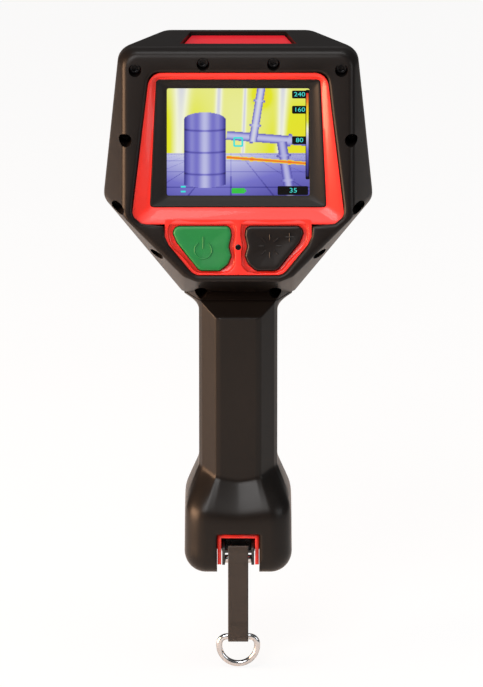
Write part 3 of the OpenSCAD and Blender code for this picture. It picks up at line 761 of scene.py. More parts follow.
def bezel():
    """Black frame that slopes from the surround down to the glass, with mitred corners."""
    outer = rounded(twin(BEZEL_HALF), 1.5, 60, 8)
    inner = rounded(twin([(SCREEN[0] / 2, SCREEN[1] / 2), (SCREEN[0] / 2, -SCREEN[1] / 2)]), 1.0, 60, 8)
    rings = [
        on_face(outer, 0.05),
        on_face(outer, BEZEL_RISE - 0.3),
        *bend(on_face(outer, BEZEL_RISE - 0.3), on_face(outer, BEZEL_RISE),
              on_face(grown(outer, -0.4), BEZEL_RISE), 3),
        *bend(on_face(grown(outer, -0.7), BEZEL_RISE - 0.05), on_face(grown(inner, 2.4), 0.75),
              on_face(grown(inner, 0.5), 0.6), 6),
        *bend(on_face(grown(inner, 0.3), 0.58), on_face(inner, 0.55), on_face(inner, 0.3), 3),
        on_face(inner, 0.05),
    ]
    frame_piece = loft("bezel", rings, wrap=True)
    return dressed(frame_piece, "camera", FINISH["bezel"], ["display_bezel"], 25)


# ---- screen ----

FIGURE_STRETCH = 1.25
FIGURE_RISE = 0.07


def scene_heat(x, y):
    """Heat of a plant room from 0, cold, to 1, hot: a warm wall, a cool round tank with bands,
    two slanting pipes and a tiled floor. x and y run from 0 to 1 across and up the screen."""
    heat = 0.68 + 0.03 * np.sin(7 * x + 1.3) * np.sin(3 * y) - 0.05 * y
    for at, w in ((0.08, 0.05), (0.34, 0.02), (0.52, 0.012), (0.78, 0.03)):
        heat -= 0.13 * np.exp(-(((x - at - 0.03 * y) / w) ** 2))
    heat += 0.1 * np.exp(-(((x - 0.66) / 0.06) ** 2 + ((y - 0.93) / 0.1) ** 2))
    depth = np.clip((0.40 - y) / 0.40, 0, 1)
    lines = 0.10 * (np.abs(np.sin((x - 0.45) / (0.12 + 0.5 * depth) * 6.5)) < 0.07)
    lines = lines + 0.10 * (np.abs(np.sin(14 * np.sqrt(depth + 0.02))) < 0.09)
    floor = 0.47 - 0.25 * depth + 0.05 * np.sin(5 * x) - lines
    heat = np.where(y < 0.40, floor, heat)
    # Tank: cool cylinder shaded round its axis, with a domed top and three darker bands
    tx = (x - 0.27) / 0.145
    top = 0.70 + 0.07 * np.sqrt(np.clip(1 - tx**2, 0, 1))
    tank = 0.40 - 0.26 * np.abs(tx) ** 2.2 + 0.05 * np.cos(9 * tx)
    for band in (0.22, 0.42, 0.62):
        tank = tank - 0.14 * np.exp(-(((y - band + 0.02 * np.sqrt(np.clip(1 - tx**2, 0, 1))) / 0.008) ** 2))
    inside = (np.abs(tx) < 1) & (y < top) & (y > 0.08 + 0.03 * tx**2)
    heat = np.where(inside, tank, heat)
    # Pipes: one cool, one hot, each round across its width, with a flange
    for x0, y0, x1, y1, half, core, edge in (
        (0.42, 0.56, 1.0, 0.50, 0.040, 0.46, 0.22), (0.60, 0.50, 0.66, 1.0, 0.028, 0.50, 0.24),
        (0.86, 0.0, 0.80, 0.50, 0.034, 0.44, 0.18), (0.42, 0.36, 1.0, 0.30, 0.016, 0.93, 0.66),
    ):
        run = np.hypot(x1 - x0, y1 - y0)
        along = ((x - x0) * (x1 - x0) + (y - y0) * (y1 - y0)) / run**2
        across = ((x - x0) * (y1 - y0) - (y - y0) * (x1 - x0)) / run / half
        swell = 1 + 0.45 * (np.abs(along - 0.3) < 0.02) + 0.45 * (np.abs(along - 0.75) < 0.02)
        on = (np.abs(across) < swell) & (along > 0) & (along < 1)
        heat = np.where(on, core + (edge - core) * np.abs(across / swell) ** 2, heat)
    return heat


def heat_colour(heat):
    """Linear colour of a heat value on the blue, lavender, white, yellow, orange, red scale."""
    at = np.array([0.0, 0.16, 0.32, 0.46, 0.56, 0.66, 0.82, 0.92, 1.0])
    tones = [(18, 16, 84), (60, 58, 150), (112, 110, 196), (186, 188, 226), (238, 240, 214),
             (222, 226, 29), (244, 196, 24), (236, 104, 28), (214, 30, 34)]
    tones = np.array([linear(*t) for t in tones])
    return np.stack([np.interp(heat, at, tones[:, i]) for i in range(3)], -1)


def screen(look):
    """Lit picture: a fine grid in the plane of the glass whose colour attribute holds the heat
    scene, closed underneath by a plain slab."""
    nx, ny = look.columns, look.columns * 3 // 4
    w, h = SCREEN / 2 + 0.6
    x, y = np.meshgrid(np.linspace(-w, w, nx + 1), np.linspace(-h, h, ny + 1))
    flat = np.stack([x.ravel(), y.ravel()], 1)
    i, j = np.meshgrid(np.arange(ny), np.arange(nx), indexing="ij")
    a = i * (nx + 1) + j
    quads = np.stack([a, a + 1, a + nx + 2, a + nx + 1], -1).reshape(-1, 4)
    corner = np.array([0, nx, (nx + 1) * (ny + 1) - 1, (nx + 1) * ny])
    rim = np.concatenate([np.arange(nx), nx + (nx + 1) * np.arange(ny), corner[2] - np.arange(nx),
                          corner[3] - (nx + 1) * np.arange(ny)])
    back = on_face(flat[rim], -1.1)
    n = len(flat) + np.arange(len(rim))
    sides = np.stack([rim, n, np.roll(n, -1), np.roll(rim, -1)], 1)
    piece = build("lit_screen", np.vstack([on_face(flat, 0.0), back]), np.vstack([quads, sides]), [n[::-1]])
    tone = np.ones((len(flat) + len(rim), 4))
    tone[: len(flat), :3] = heat_colour(scene_heat((flat[:, 0] / w + 1) / 2, (flat[:, 1] / h + 1) / 2))
    tone[len(flat):, :3] = 0.01
    layer = piece.data.attributes.new("picture", "FLOAT_COLOR", "POINT")
    layer.data.foreach_set("color", tone.ravel())
    plain(piece, FINISH["screen"])
    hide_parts("display_window")
    return piece


def label_box(x, y, w, h, rise=0.04, r=0.6):
    """Rounded plate on the screen, in millimetres from its centre."""
    loop = rounded(oblong(x - w / 2, x + w / 2, y - h / 2, y + h / 2), r, 2, 4)
    return prism("box", loop, on_face, 0.01, rise)


def figures(text, x, y, size):
    """Plain digits as a flat mesh on the screen: a text shape made a mesh, then leant back."""
    curve = bpy.data.curves.new("figures", "FONT")
    curve.body, curve.size, curve.align_x, curve.align_y = text, size, "CENTER", "CENTER"
    curve.extrude = 0.01
    shape = linked("figures", curve)
    mesh = bpy.data.meshes.new_from_object(shape.evaluated_get(bpy.context.evaluated_depsgraph_get()))
    bpy.data.objects.remove(shape)
    co = points_of(mesh)
    flat = np.stack([co[:, 0] * FIGURE_STRETCH + x, co[:, 1] + y], 1)
    placed = (on_face(flat, FIGURE_RISE + co[:, 2]) + (0, 0, BASE_Z)) * MM
    mesh.vertices.foreach_set("co", placed.ravel())
    return linked("figures", mesh)


def readouts():
    """Boxes, figures, heat bar, battery mark and centre frame on the screen."""
    right = SCREEN[0] / 2
    rows = [(23.3, "240"), (15.8, "160"), (0.8, "80")]
    boxes = [label_box(right - 4.9, y, 7.4, 3.9) for y, _ in rows]
    boxes += [label_box(right - 8.2, -23.9, 15.0, 4.4), label_box(right - 0.9, 3.6, 2.1, 44)]
    plain(joined("readout_boxes", boxes), FINISH["ink"])
    texts = [figures(t, right - 4.9, y, 3.0) for y, t in rows] + [figures("35", right - 8.0, -23.9, 3.2)]
    plain(joined("readout_figures", texts), FINISH["digits"])
    n = 40
    t = np.linspace(0, 1, n + 1)
    x0, x1 = right - 1.6, right - 0.5
    flat = np.concatenate([np.stack([np.full(n + 1, x), -17 + 41 * t], 1) for x in (x0, x1)])
    a = np.arange(n)
    bar = build("heat_bar", on_face(flat, 0.08), np.stack([a, a + n + 1, a + n + 2, a + 1], 1))
    tone = np.ones((2 * n + 2, 4))
    tone[:, :3] = np.tile(heat_colour(t), (2, 1))
    bar.data.attributes.new("picture", "FLOAT_COLOR", "POINT").data.foreach_set("color", tone.ravel())
    plain(bar, FINISH["screen"])
    battery = [label_box(0, -24.0, 6.4, 2.6, 0.05, 0.3), label_box(3.6, -24.0, 0.7, 1.2, 0.05, 0.1),
               label_box(-1.6, -24.0, 2.2, 1.6, 0.08, 0.1), label_box(1.2, -24.0, 2.2, 1.6, 0.08, 0.1)]
    plain(joined("battery_mark", battery), FINISH["mark"])
    frame_sides = [label_box(0, 2.0, 4, 0.35), label_box(0, -2.0, 4, 0.35), label_box(2, 0, 0.35, 4.35),
                   label_box(-2, 0, 0.35, 4.35), label_box(-27, -22, 2.4, 0.4), label_box(-27, -24.4, 2.4, 0.4)]
    plain(joined("centre_frame", frame_sides), FINISH["digits"])


def plain(obj, material):
    """Gives the screen or a mark on it its finish and body."""
    obj.data.materials.clear()
    obj.data.materials.append(material)
    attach(obj, "camera")


# ---- buttons ----


def button(look, name, side, material, marks):
    """Button cap: its edge drawn in over a round brim to a shallow dome, height = top - slope
    squared. marks are strokes on its face, each a path in the plane of the face."""
    b = button_outline()
    hub = np.array([17.0, -51.5])
    top, r = look.button_top / MM, look.brim / MM
    rings = [on_face(b, 0.6), on_face(b, top - r)]
    rings += bend(on_face(b, top - r), on_face(b, top), on_face(grown(b, -r), top), 5)[1:]
    inner = grown(b, -r)
    for t in np.linspace(0.88, 0.04, 12):
        rings.append(on_face(hub + (inner - hub) * t, top - look.dish / MM * (1 - t**2) ** 1.5))
    cap = loft(name, np.array(rings) * (side, 1, 1))
    face_out(cap)
    strokes = []
    for path in marks:
        path = np.array(path, float)
        t = np.linalg.norm((path - hub) / (inner.max(0) - inner.min(0)) * 2, axis=1)
        rise = top - look.dish / MM * np.clip(1 - t**2, 0, 1) ** 1.5 + 0.04
        run = on_face(path, rise)
        closed = np.allclose(path[0], path[-1])
        strokes.append(tube("stroke", run[:-1] if closed else run, STROKE_R, 10, closed))
    mark = joined(name + "_marks", strokes)
    mark.data.vertices.foreach_set("co", (points_of(mark.data) * (side, 1, 1)).ravel())
    body = name.replace("_cap", "")
    dressed(cap, body, material, [body], 40)
    dressed(mark, body, material, angle=60)
    return cap


def line(a, b, n=8):
    """Straight stroke between two points."""
    return np.linspace(a, b, n)


def buttons(look):
    """Power button with a broken ring and a bar, and mode button with eight rays and a plus."""
    a = np.radians(np.linspace(125, 415, 48))
    mid = np.array([17.2, -53.2])
    hoop = mid + 4.2 * around(a)
    button(look, "power_button_cap", -1, FINISH["green"],
           [hoop, line((17.2, -52.4), (17.2, -46.6))])
    mid = np.array([15.6, -51.2])
    rays = [line(mid + 3.0 * d, mid + 5.6 * d) for d in around(np.arange(8) * np.pi / 4)]
    plus = [line((23.2, -46.8), (27.4, -46.8)), line((25.3, -48.9), (25.3, -44.7))]
    button(look, "mode_button_cap", 1, FINISH["key"], rays + plus)


def sensor():
    """Small domed filter lens between the buttons."""
    a = np.linspace(0, 2 * np.pi, 32, endpoint=False)
    circle = around(a)
    t = np.linspace(0, 1, 8)
    edge, base = SENSOR_AT + SENSOR_R * circle, DECK_RISE + 0.02
    rings = [on_face(edge, 3.4), on_face(edge, base)]
    rings += [on_face(SENSOR_AT + SENSOR_R * circle * np.cos(k), base + 0.12 * np.sin(k)) for k in 1.5 * t[1:]]
    dressed(loft("sensor_window", rings), "camera", FINISH["filter"], ["sensor_lens"])


# ---- plate, screws and lens ----


def label_plate():
    """Crimson plate in the recess of the top, with round edges."""
    z0, z1 = low("id_plate")[2] - BASE_Z, high("id_plate")[2] - BASE_Z
    loop = rounded([(-27.9, 19.1), (27.9, 19.1), (22.9, 42.3), (-22.9, 42.3)], 1.0, 12, 5)
    rings = [level(loop, z0), level(loop, z1 - 0.3)]
    rings += bend(level(loop, z1 - 0.3), level(loop, z1), level(grown(loop, -0.3), z1), 4)[1:]
    rings += [level(loop * t + (1 - t) * loop.mean(0), z1) for t in (0.9, 0.5, 0.1)]
    dressed(loft("label_plate", rings), "camera", FINISH["crimson"], ["id_plate"])


def head_screws():
    """Twelve socket screws: turned heads whose recess is a six-sided profile, radius / cos of the
    angle from the nearest flat's middle."""
    a = np.linspace(0, 2 * np.pi, 48, endpoint=False)
    hexagon = 1 / np.cos((a + np.pi / 6) % (np.pi / 3) - np.pi / 6)
    circle = around(a)
    y = BEARING_Y
    profile = [(1.5, 9, 0), (1.5, 0, 0), (2.6, -0.05, 0), (2.7, -0.3, 0), (2.7, -2.6, 0), (2.4, -2.95, 0),
               (1.6, -3.0, 0.3), (1.25, -2.8, 1), (1.2, -1.4, 1), (0.1, -1.2, 1)]
    parts = []
    for x, z in SCREW_SITES:
        for side in (-1, 1):
            rings = [upright((side * x, z) + circle * (r * (1 + (hexagon - 1) * k))[:, None] if k else
                             (side * x, z) + circle * r, y + d) for r, d, k in profile]
            parts.append(loft("screw", rings))
    dressed(joined("socket_screws", parts), "camera", FINISH["screw"], ["head_screws"])


def lens():
    """Barrel, domed lens and notched retainer, each turned about the optical axis."""
    seat = low("lens_seal")[1]
    c = (0, 0, LENS_Z)
    barrel = [(15.9, 42.5), (22.8, 42.5), (22.8, seat + 0.8), (26.0, seat + 0.8), (26.0, seat + 2.8),
              (25.5, seat + 3.3), (19.4, seat + 3.3), (19.1, seat + 3.0), (19.0, seat - 0.6), (15.9, seat - 0.6)]
    tube_piece = turned("lens_tube", barrel, c, n=96)
    dressed(tube_piece, "camera", FINISH["barrel"], ["lens_barrel"], 25)
    r = np.linspace(18.85, 0.05, 24)
    dome = np.stack([r, seat + 2.6 - (100 - np.sqrt(100**2 - r**2))], 1)
    glass = [(0.05, seat - 0.5), (18.85, seat - 0.5), *map(tuple, dome)]
    glass_piece = turned("front_lens", glass, c, n=96, wrap=False)
    dressed(glass_piece, "camera", FINISH["germanium"], ["germanium_lens"])
    a = np.linspace(0, 2 * np.pi, 144, endpoint=False)
    notch = 0.7 * (np.abs((a * 6 / np.pi) % 2 - 1) < 0.12)
    circle = around(a)
    mid = np.array([0, LENS_Z])
    rings = [upright(mid + circle * r, y - notch * k) for r, y, k in (
        (18.85, seat + 2.2, 0), (18.85, seat + 3.3, 0), (18.5, seat + 3.5, 1), (16.9, seat + 3.5, 1),
        (16.5, seat + 3.2, 1), (16.4, seat + 2.3, 0))]
    ring_piece = loft("lens_ring", rings, wrap=True)
    dressed(ring_piece, "camera", FINISH["barrel"], ["lens_retainer"], 25)


# ---- grip ----

BASE_HALF, BASE_BACK, BASE_FRONT, BASE_CORNER = 26.45, -32.0, 27.0, 11.0
EDGE_R, EDGE_FLAT = 10.0, 9.4
RAMP_LOW, RAMP_HIGH = (30.0, 5.0), (45.2, 6.5)
WALL_SHARE = 0.87
CAVITY_Z = 12.6
NOTCH_HALF, NOTCH_TOP, NOTCH_FLARE = 10.4, 20.2, 2.2


def soft_ramp(u, low_soft, high_soft):
    """Ramp from 0 to 1 over u = 0 to 1, rounded at each end by its own softness."""
    return 0.5 * (np.sqrt(u**2 + low_soft**2) - np.sqrt((u - 1) ** 2 + high_soft**2) + 1)


def grip_boot():
    """Rubber boot: sections stacked by height. Round the base each point runs from the base's
    outline out to the grip's along its own ray, over a soft ramp whose heights depend on where
    it faces, and under it the edge is a quarter circle."""
    grip, a = neck_plan(100.0), ROUND
    corners = np.roll(oblong(-BASE_HALF, BASE_HALF, BASE_BACK, BASE_FRONT), -1, 0)
    base = at_angles(rounded(corners, BASE_CORNER, 40, 16), np.zeros(2), a)
    side = np.abs(np.cos(a)) ** 1.5
    z0, z1 = (at + more * side for at, more in (RAMP_LOW, RAMP_HIGH))
    rings = []
    for t in np.radians(np.linspace(20, 90, 9)):
        z = (EDGE_FLAT - EDGE_R * np.cos(t)) * EDGE_R / EDGE_FLAT
        rings.append(level(grown(base, -EDGE_R * (1 - np.sin(t))), z))
    for z in np.concatenate([np.linspace(13, 22, 4), np.linspace(23, 60, 50), np.linspace(64, 122, 8)]):
        k = soft_ramp((z - z0) / (z1 - z0), 0.22, 0.06)[:, None]
        rings.append(level(base + (grip - base) * k, z))
    for z in np.linspace(124, SEAM - 0.45, 22):
        rings.append(level(neck_plan(z), z))
    rings.append(level(neck_plan(SEAM - 0.2, 0.25), SEAM - 0.2))
    for z in (SEAM - 0.2, *np.linspace(SEAM - 1, 120, 12), CAVITY_Z):
        rings.append(level(shrunk(neck_plan(z), np.zeros(2), WALL_SHARE), z))
    well = rounded([(17, 21.5), (-17, 21.5), (-17, -19.7), (17, -19.7)], 2.5, 30, 6)
    rings += [level(at_angles(well, np.zeros(2), a), z) for z in (CAVITY_Z, 0.003)]
    boot = loft("grip_sleeve", rings, wrap=True)
    face_out(boot)
    rings = []
    for d in np.linspace(0, 1, 7):
        w = NOTCH_HALF + NOTCH_FLARE * (1 - np.sqrt(1 - (1 - d) ** 2))
        top = NOTCH_TOP + w - NOTCH_HALF
        loop = rounded([(w, -3), (w, top), (-w, top), (-w, -3)], [0.5, 1.2, 1.2, 0.5], 4, 5)
        rings.append(upright(loop, BASE_BACK + 2.4 * d - 0.05))
    rings.insert(0, rings[0] - (0, 3, 0))
    rings.append(rings[-1] + (0, 14, 0))
    cut(boot, [loft("notch", rings)])
    bevelled(boot, 0.5, 40)
    return dressed(boot, "camera", FINISH["boot"], ["grip_boot"], 30)


# ---- strap ----

BAR_R, LOOP_R = 1.35, 1.56


def strap(look):
    """Webbing: one flat band carried round a closed path, down the front, round the ring, up the
    back and round the bar; its section is a rounded slab whose UV map counts millimetres."""
    width, ply = high("lanyard_strap")[0] * 2, look.ply / MM
    y = (low("d_ring")[1] + high("d_ring")[1]) / 2
    top, bottom = high("lanyard_strap")[2] - BASE_Z, low("lanyard_strap")[2] - BASE_Z
    r_top, r_low = BAR_R + ply / 2, LOOP_R + ply / 2
    z_top, z_low = top - r_top - ply / 2, bottom + r_low + ply / 2
    a = np.linspace(0, np.pi, 24)
    over = np.stack([y - r_top * np.cos(a), z_top + r_top * np.sin(a)], 1)
    under = np.stack([y + r_low * np.cos(a), z_low - r_low * np.sin(a)], 1)
    h = np.linspace(0, 1, 60)
    pinch = soft_ramp(h * 8, 0.3, 0.3) * soft_ramp((1 - h) * 8, 0.3, 0.3)
    half = ply / 2 + 0.02
    spread = half + (np.where(h < 0.5, r_top, r_low) - half) * (1 - pinch)
    down = np.stack([y + spread, z_top + (z_low - z_top) * h], 1)
    up = down[::-1] * (-1, 1) + (2 * y, 0)
    path = np.concatenate([over, down[1:-1], under, up[1:-1]])
    t = np.roll(path, -1, 0) - np.roll(path, 1, 0)
    n = np.stack([t[:, 1], -t[:, 0]], 1)
    n /= np.linalg.norm(n, axis=1, keepdims=True)
    section = rounded(oblong(-width / 2, width / 2, -ply / 2, ply / 2), 0.4, 12, 4)
    verts = np.empty((len(path), len(section), 3))
    verts[..., 0] = section[None, :, 0]
    verts[..., 1] = path[:, None, 0] + n[:, None, 0] * section[None, :, 1]
    verts[..., 2] = path[:, None, 1] + n[:, None, 1] * section[None, :, 1]
    band = loft("webbing_strap", verts, wrap=True)
    along = np.r_[0, np.cumsum(np.linalg.norm(np.diff(path, axis=0), axis=1))]
    uv = band.data.uv_layers.new(name="UVMap")
    index = np.empty(len(band.data.loops), int)
    band.data.loops.foreach_get("vertex_index", index)
    where = np.stack([np.tile(section[:, 0], len(path)), np.repeat(along, len(section))], 1)[index]
    uv.data.foreach_set("uv", where.ravel())
    soften(band, 60)
    band.data.materials.append(FINISH["strap"])
    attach(band, "strap")
    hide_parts("lanyard_strap")
    stitches = []
    for z in (top - 6.5, bottom + 7.5):
        for x0, z0, x1, z1 in ((-3.6, 2.2, 3.6, 2.2), (-3.6, -2.2, 3.6, -2.2), (-3.6, -2.2, -3.6, 2.2),
                               (3.6, -2.2, 3.6, 2.2), (-3.6, -2.2, 3.6, 2.2), (-3.6, 2.2, 3.6, -2.2)):
            count = int(np.hypot(x1 - x0, z1 - z0) / 1.2)
            for k in range(count):
                p, q = (k + 0.15) / count, (k + 0.85) / count
                s = np.linspace(p, q, 5)
                bow = 0.12 * np.sin(np.linspace(0, np.pi, 5))
                pts = np.stack([x0 + (x1 - x0) * s, y - ply - 0.02 - bow, z + z0 + (z1 - z0) * s], 1)
                stitches.append(tube("stitch", pts, 0.13, 6, False))
    dressed(joined("strap_stitches", stitches), "strap", FINISH["strap"], angle=60)


def ring():
    """Steel ring: round wire along a D, a straight bar with small corners over a half circle."""
    lo, hi = low("d_ring"), high("d_ring")
    wire = hi[1] - lo[1]
    y, half = (lo[1] + hi[1]) / 2, (hi[0] - lo[0] - wire) / 2
    z1, z0 = hi[2] - BASE_Z - wire / 2, lo[2] - BASE_Z + wire / 2
    corners = [(half, z1), (-half, z1), (-half, z0), (half, z0)]
    loop = rounded(corners, [3.8, 3.8, half - 0.01, half - 0.01], 10, 24)
    wire_ring = tube("wire_ring", upright(loop, y), wire / 2, 24)
    dressed(wire_ring, "ring", FINISH["chrome"], ["d_ring"], 60)


# ---- hardware ----


def door_pin():
    """Hinge pin: a turned rod with round ends, along X."""
    lo, hi = low("door_pin"), high("door_pin")
    r = (hi[2] - lo[2]) / 2
    c = (0, (lo[1] + hi[1]) / 2, (lo[2] + hi[2]) / 2 - BASE_Z)
    end = [(r * np.sin(t), hi[0] - r * 0.6 + r * 0.6 * np.cos(t)) for t in np.linspace(0.05, np.pi / 2, 8)]
    profile = end + [(rr, -x) for rr, x in end[::-1]]
    pin = turned("hinge_pin", profile, c, "x", 32, wrap=False)
    dressed(pin, "camera", FINISH["chrome"], ["door_pin"], 50)


KEPT = {
    "housing_gasket": "rubber", "display_panel": "filter", "display_frame": "alloy", "power_button": "green",
    "mode_button": "key", "keypad": "rubber", "switch_board": "board", "tact_switches": "zinc",
    "sensor_lens": "filter", "id_plate": "crimson", "main_board": "board", "board_screws": "zinc",
    "board_spacers": "brass", "display_flex": "flex", "thermal_core": "barrel", "core_bracket": "alloy",
    "lens_barrel": "barrel", "germanium_lens": "germanium", "lens_retainer": "barrel", "lens_seal": "rubber",
    "head_screws": "screw", "neck_seal": "rubber", "neck_screws": "zinc", "grip_core": "red", "grip_boot": "boot",
    "battery_pack": "battery", "battery_contacts": "brass", "battery_leads": "lead", "battery_door": "door",
    "door_seal": "rubber", "door_clip": "alloy", "door_pin": "chrome", "strap_bracket": "bracket",
    "bracket_screws": "screw", "lanyard_strap": "strap", "d_ring": "chrome", "rear_cover": "cover",
    "front_cover": "cover", "rear_housing": "red", "front_housing": "red", "display_bezel": "bezel",
    "display_window": "filter",
}


def finish_kept():
    """Gives every node of the frame its finish, and a fine rounded edge to the ones in view."""
    for node, finish in KEPT.items():
        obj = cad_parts[node]
        obj.data.materials.clear()
        obj.data.materials.append(FINISH[finish])
    for node, width in (("strap_bracket", 0.25), ("battery_door", 0.3), ("grip_core", 0.3)):
        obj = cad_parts[node]
        weld = obj.modifiers.new("weld", "WELD")
        weld.merge_threshold = 1e-6
        bevelled(obj, width, 40)
        soften(obj, 40)


# ---- stage ----

FLOOR_HALF, FLOOR_STEPS = 2500.0, 8
LONG_LENS, LENS_FRAME = 800, 36


def floor(look):
    """Plain pale floor under the object: a level grid."""
    z = CAD_BOX[0][2] / MM - BASE_Z - look.clearance / MM
    row = FLOOR_STEPS + 1
    x, y = np.meshgrid(*[np.linspace(-FLOOR_HALF, FLOOR_HALF, row)] * 2)
    i, j = np.meshgrid(np.arange(FLOOR_STEPS), np.arange(FLOOR_STEPS), indexing="ij")
    a = i * row + j
    verts = np.stack([x.ravel(), y.ravel(), np.full(row * row, z)], 1)
    piece = build("floor", verts, np.stack([a, a + 1, a + row + 1, a + row], -1).reshape(-1, 4))
    soften(piece, 60)
    f = Finish("pale_floor", 0.9)
    tone = linear(236, 236, 236)
    f.colour(f.noise(8, 3), tuple(0.97 * c for c in tone), tone)
    glow = f.tree.nodes.new("ShaderNodeEmission")
    glow.inputs["Color"].default_value = (1, 1, 1, 1)
    mix = f.tree.nodes.new("ShaderNodeMixShader")
    paths = f.tree.nodes.new("ShaderNodeLightPath")
    most = f.tree.nodes.new("ShaderNodeMath")
    most.operation = "MAXIMUM"
    f.link(paths.outputs["Is Camera Ray"], most.inputs[0])
    f.link(paths.outputs["Is Transmission Ray"], most.inputs[1])
    share = f.tree.nodes.new("ShaderNodeMath")
    share.operation = "MULTIPLY"
    share.inputs[1].default_value = look.whiteness
    f.link(most.outputs[0], share.inputs[0])
    f.link(share.outputs[0], mix.inputs["Fac"])
    f.link(f.bsdf.outputs[0], mix.inputs[1])
    f.link(glow.outputs[0], mix.inputs[2])
    f.link(mix.outputs[0], f.tree.nodes["Material Output"].inputs["Surface"])
    piece.data.materials.append(f.mat)


def lamp(name, place, aim, size, power, colour=(1, 1, 1)):
    """Square soft lamp at a place, turned to its aim; metres."""
    data = bpy.data.lights.new(name, "AREA")
    data.shape, data.size, data.energy, data.color = "SQUARE", size, power, colour
    obj = linked(name, data)
    obj.location = place
    obj.rotation_euler = (Vector(aim) - Vector(place)).to_track_quat("-Z", "Y").to_euler()


def camera(look):
    """Long lens at the view's height, its back leaning up by the view's elevation."""
    data = bpy.data.cameras.new("view")
    data.lens, data.sensor_width = LONG_LENS, LENS_FRAME
    obj = linked("view", data)
    back = Vector((0, -np.cos(look.elevation), np.sin(look.elevation)))
    far = look.view_height * data.lens / data.sensor_width
    obj.location = Vector(look.aim) + back * far
    obj.rotation_euler = (-back).to_track_quat("-Z", "Y").to_euler()
    data.clip_start, data.clip_end = 0.1, 100
    bpy.context.scene.camera = obj


def studio(look):
    """White world for the camera, soft grey for the light it gives and for what the polished parts reflect."""
    scene = bpy.context.scene
    scene.view_settings.view_transform = "Standard"
    world = scene.world or bpy.data.worlds.new("studio")
    scene.world = world
    world.use_nodes = True
    tree = world.node_tree
    tree.nodes.clear()
    out = tree.nodes.new("ShaderNodeOutputWorld")
    mix = tree.nodes.new("ShaderNodeMixShader")
    paths = tree.nodes.new("ShaderNodeLightPath")
    soft, white = tree.nodes.new("ShaderNodeBackground"), tree.nodes.new("ShaderNodeBackground")
    soft.inputs["Color"].default_value = (1, 1, 1, 1)
    soft.inputs["Strength"].default_value = look.ambient
    white.inputs["Strength"].default_value = 1.0
    white.inputs["Color"].default_value = (1, 1, 1, 1)
    tree.links.new(paths.outputs["Is Camera Ray"], mix.inputs["Fac"])
    tree.links.new(soft.outputs[0], mix.inputs[1])
    tree.links.new(white.outputs[0], mix.inputs[2])
    tree.links.new(mix.outputs[0], out.inputs["Surface"])
    lamp("key", (-0.5, -1.5, 1.5), (0, 0, 0.05), 0.9, look.key)
    lamp("top", (0.1, 0.1, 1.6), (0, 0, 0.05), 1.0, look.top)
    lamp("warm_side", (-1.5, -0.5, 0.2), (0, 0, 0.02), 1.2, look.side, (1.0, 0.6, 0.36))
    lamp("right_side", (1.4, -0.9, 0.6), (0, 0, 0.05), 0.8, look.right)


# ---- sidebar ----


def tone(name, rgb, about):
    """Colour setting."""
    return bpy.props.FloatVectorProperty(
        name=name, description=about, subtype="COLOR", size=3, min=0, max=1, default=linear(*rgb))


def size(name, mm, about, least=0.0, most=0.02):
    """Length setting, given in millimetres and kept in metres."""
    return bpy.props.FloatProperty(
        name=name, description=about, default=mm * MM, min=least, max=most, unit="LENGTH", precision=5)


def amount(name, value, about, most=100.0):
    """Plain number setting."""
    return bpy.props.FloatProperty(name=name, description=about, default=value, min=0.0, max=most)


class CameraFinishes(bpy.types.PropertyGroup):
    """Colours of the finishes"""

    cover: tone("Covers", (17, 14, 13), "Black of the moulded covers")
    boot: tone("Grip", (17, 14, 12), "Black of the grip sleeve")
    red: tone("Surround", (206, 38, 28), "Red of the display surround")
    bezel: tone("Bezel", (20, 19, 19), "Black of the display frame")
    green: tone("Power button", (10, 106, 50), "Green of the power button")
    crimson: tone("Label plate", (214, 30, 44), "Crimson of the plate in the top recess")
    strap: tone("Strap", (38, 33, 30), "Tone of the webbing")


class CameraShapes(bpy.types.PropertyGroup):
    """Sizes of the dressed pieces"""

    lip: size("Cover lip", 1.9, "Radius of the lip round the surround")
    edge: size("Cover edge", 2.7, "Radius of the outer edge of the face")
    brim: size("Button brim", 1.2, "Radius of the button edges")
    dish: size("Button dish", 0.5, "How far the button faces sink at the middle")
    button_top: size("Button height", 5.2, "Height of the buttons over the display glass")
    ply: size("Strap thickness", 1.1, "Thickness of one layer of webbing")
    columns: bpy.props.IntProperty(
        name="Screen columns", description="Fineness of the lit picture", default=240, min=60, max=280)


class CameraStage(bpy.types.PropertyGroup):
    """Floor, lamps and view"""

    elevation: bpy.props.FloatProperty(
        name="Elevation", description="Height of the view above level", default=LEAN, unit="ROTATION")
    aim: bpy.props.FloatVectorProperty(
        name="Aim", description="Point at the middle of the view", default=(0.00163, 0.0, 0.02474),
        subtype="XYZ")
    view_height: bpy.props.FloatProperty(
        name="View height", description="Height that the view takes in", default=0.3388, min=0.1, unit="LENGTH")
    clearance: size("Clearance", 1.0, "Gap between the ring and the floor")
    whiteness: amount("White floor", 0.9, "Share of plain white that the view sees on the floor", 1.0)
    key: amount("Key lamp", 26.0, "Power of the lamp at the upper left front, in watts")
    top: amount("Top lamp", 14.0, "Power of the lamp above, in watts")
    side: amount("Warm lamp", 90.0, "Power of the warm lamp at the left, in watts")
    right: amount("Right lamp", 6.0, "Power of the small lamp at the right, in watts")
    ambient: amount("Ambient light", 0.12, "Strength of the soft light from all round", 1.0)


class Builder:
    """What every operator of the camera shares."""

    bl_options = {"REGISTER", "UNDO"}


class CAMERA_OT_finishes(Builder, bpy.types.Operator):
    """Make the finishes and give them to the kept parts"""

    bl_idname = "camera.finishes"
    bl_label = "Finishes and inner parts"

    def execute(self, context):
        make_finishes(context.scene.camera_finishes)
        finish_kept()
        return {"FINISHED"}


class CAMERA_OT_covers(Builder, bpy.types.Operator):
    """Build the rear and front covers"""

    bl_idname = "camera.covers"
    bl_label = "Covers"

    def execute(self, context):
        rear_cover(context.scene.camera_shapes)
        front_cover()
        return {"FINISHED"}


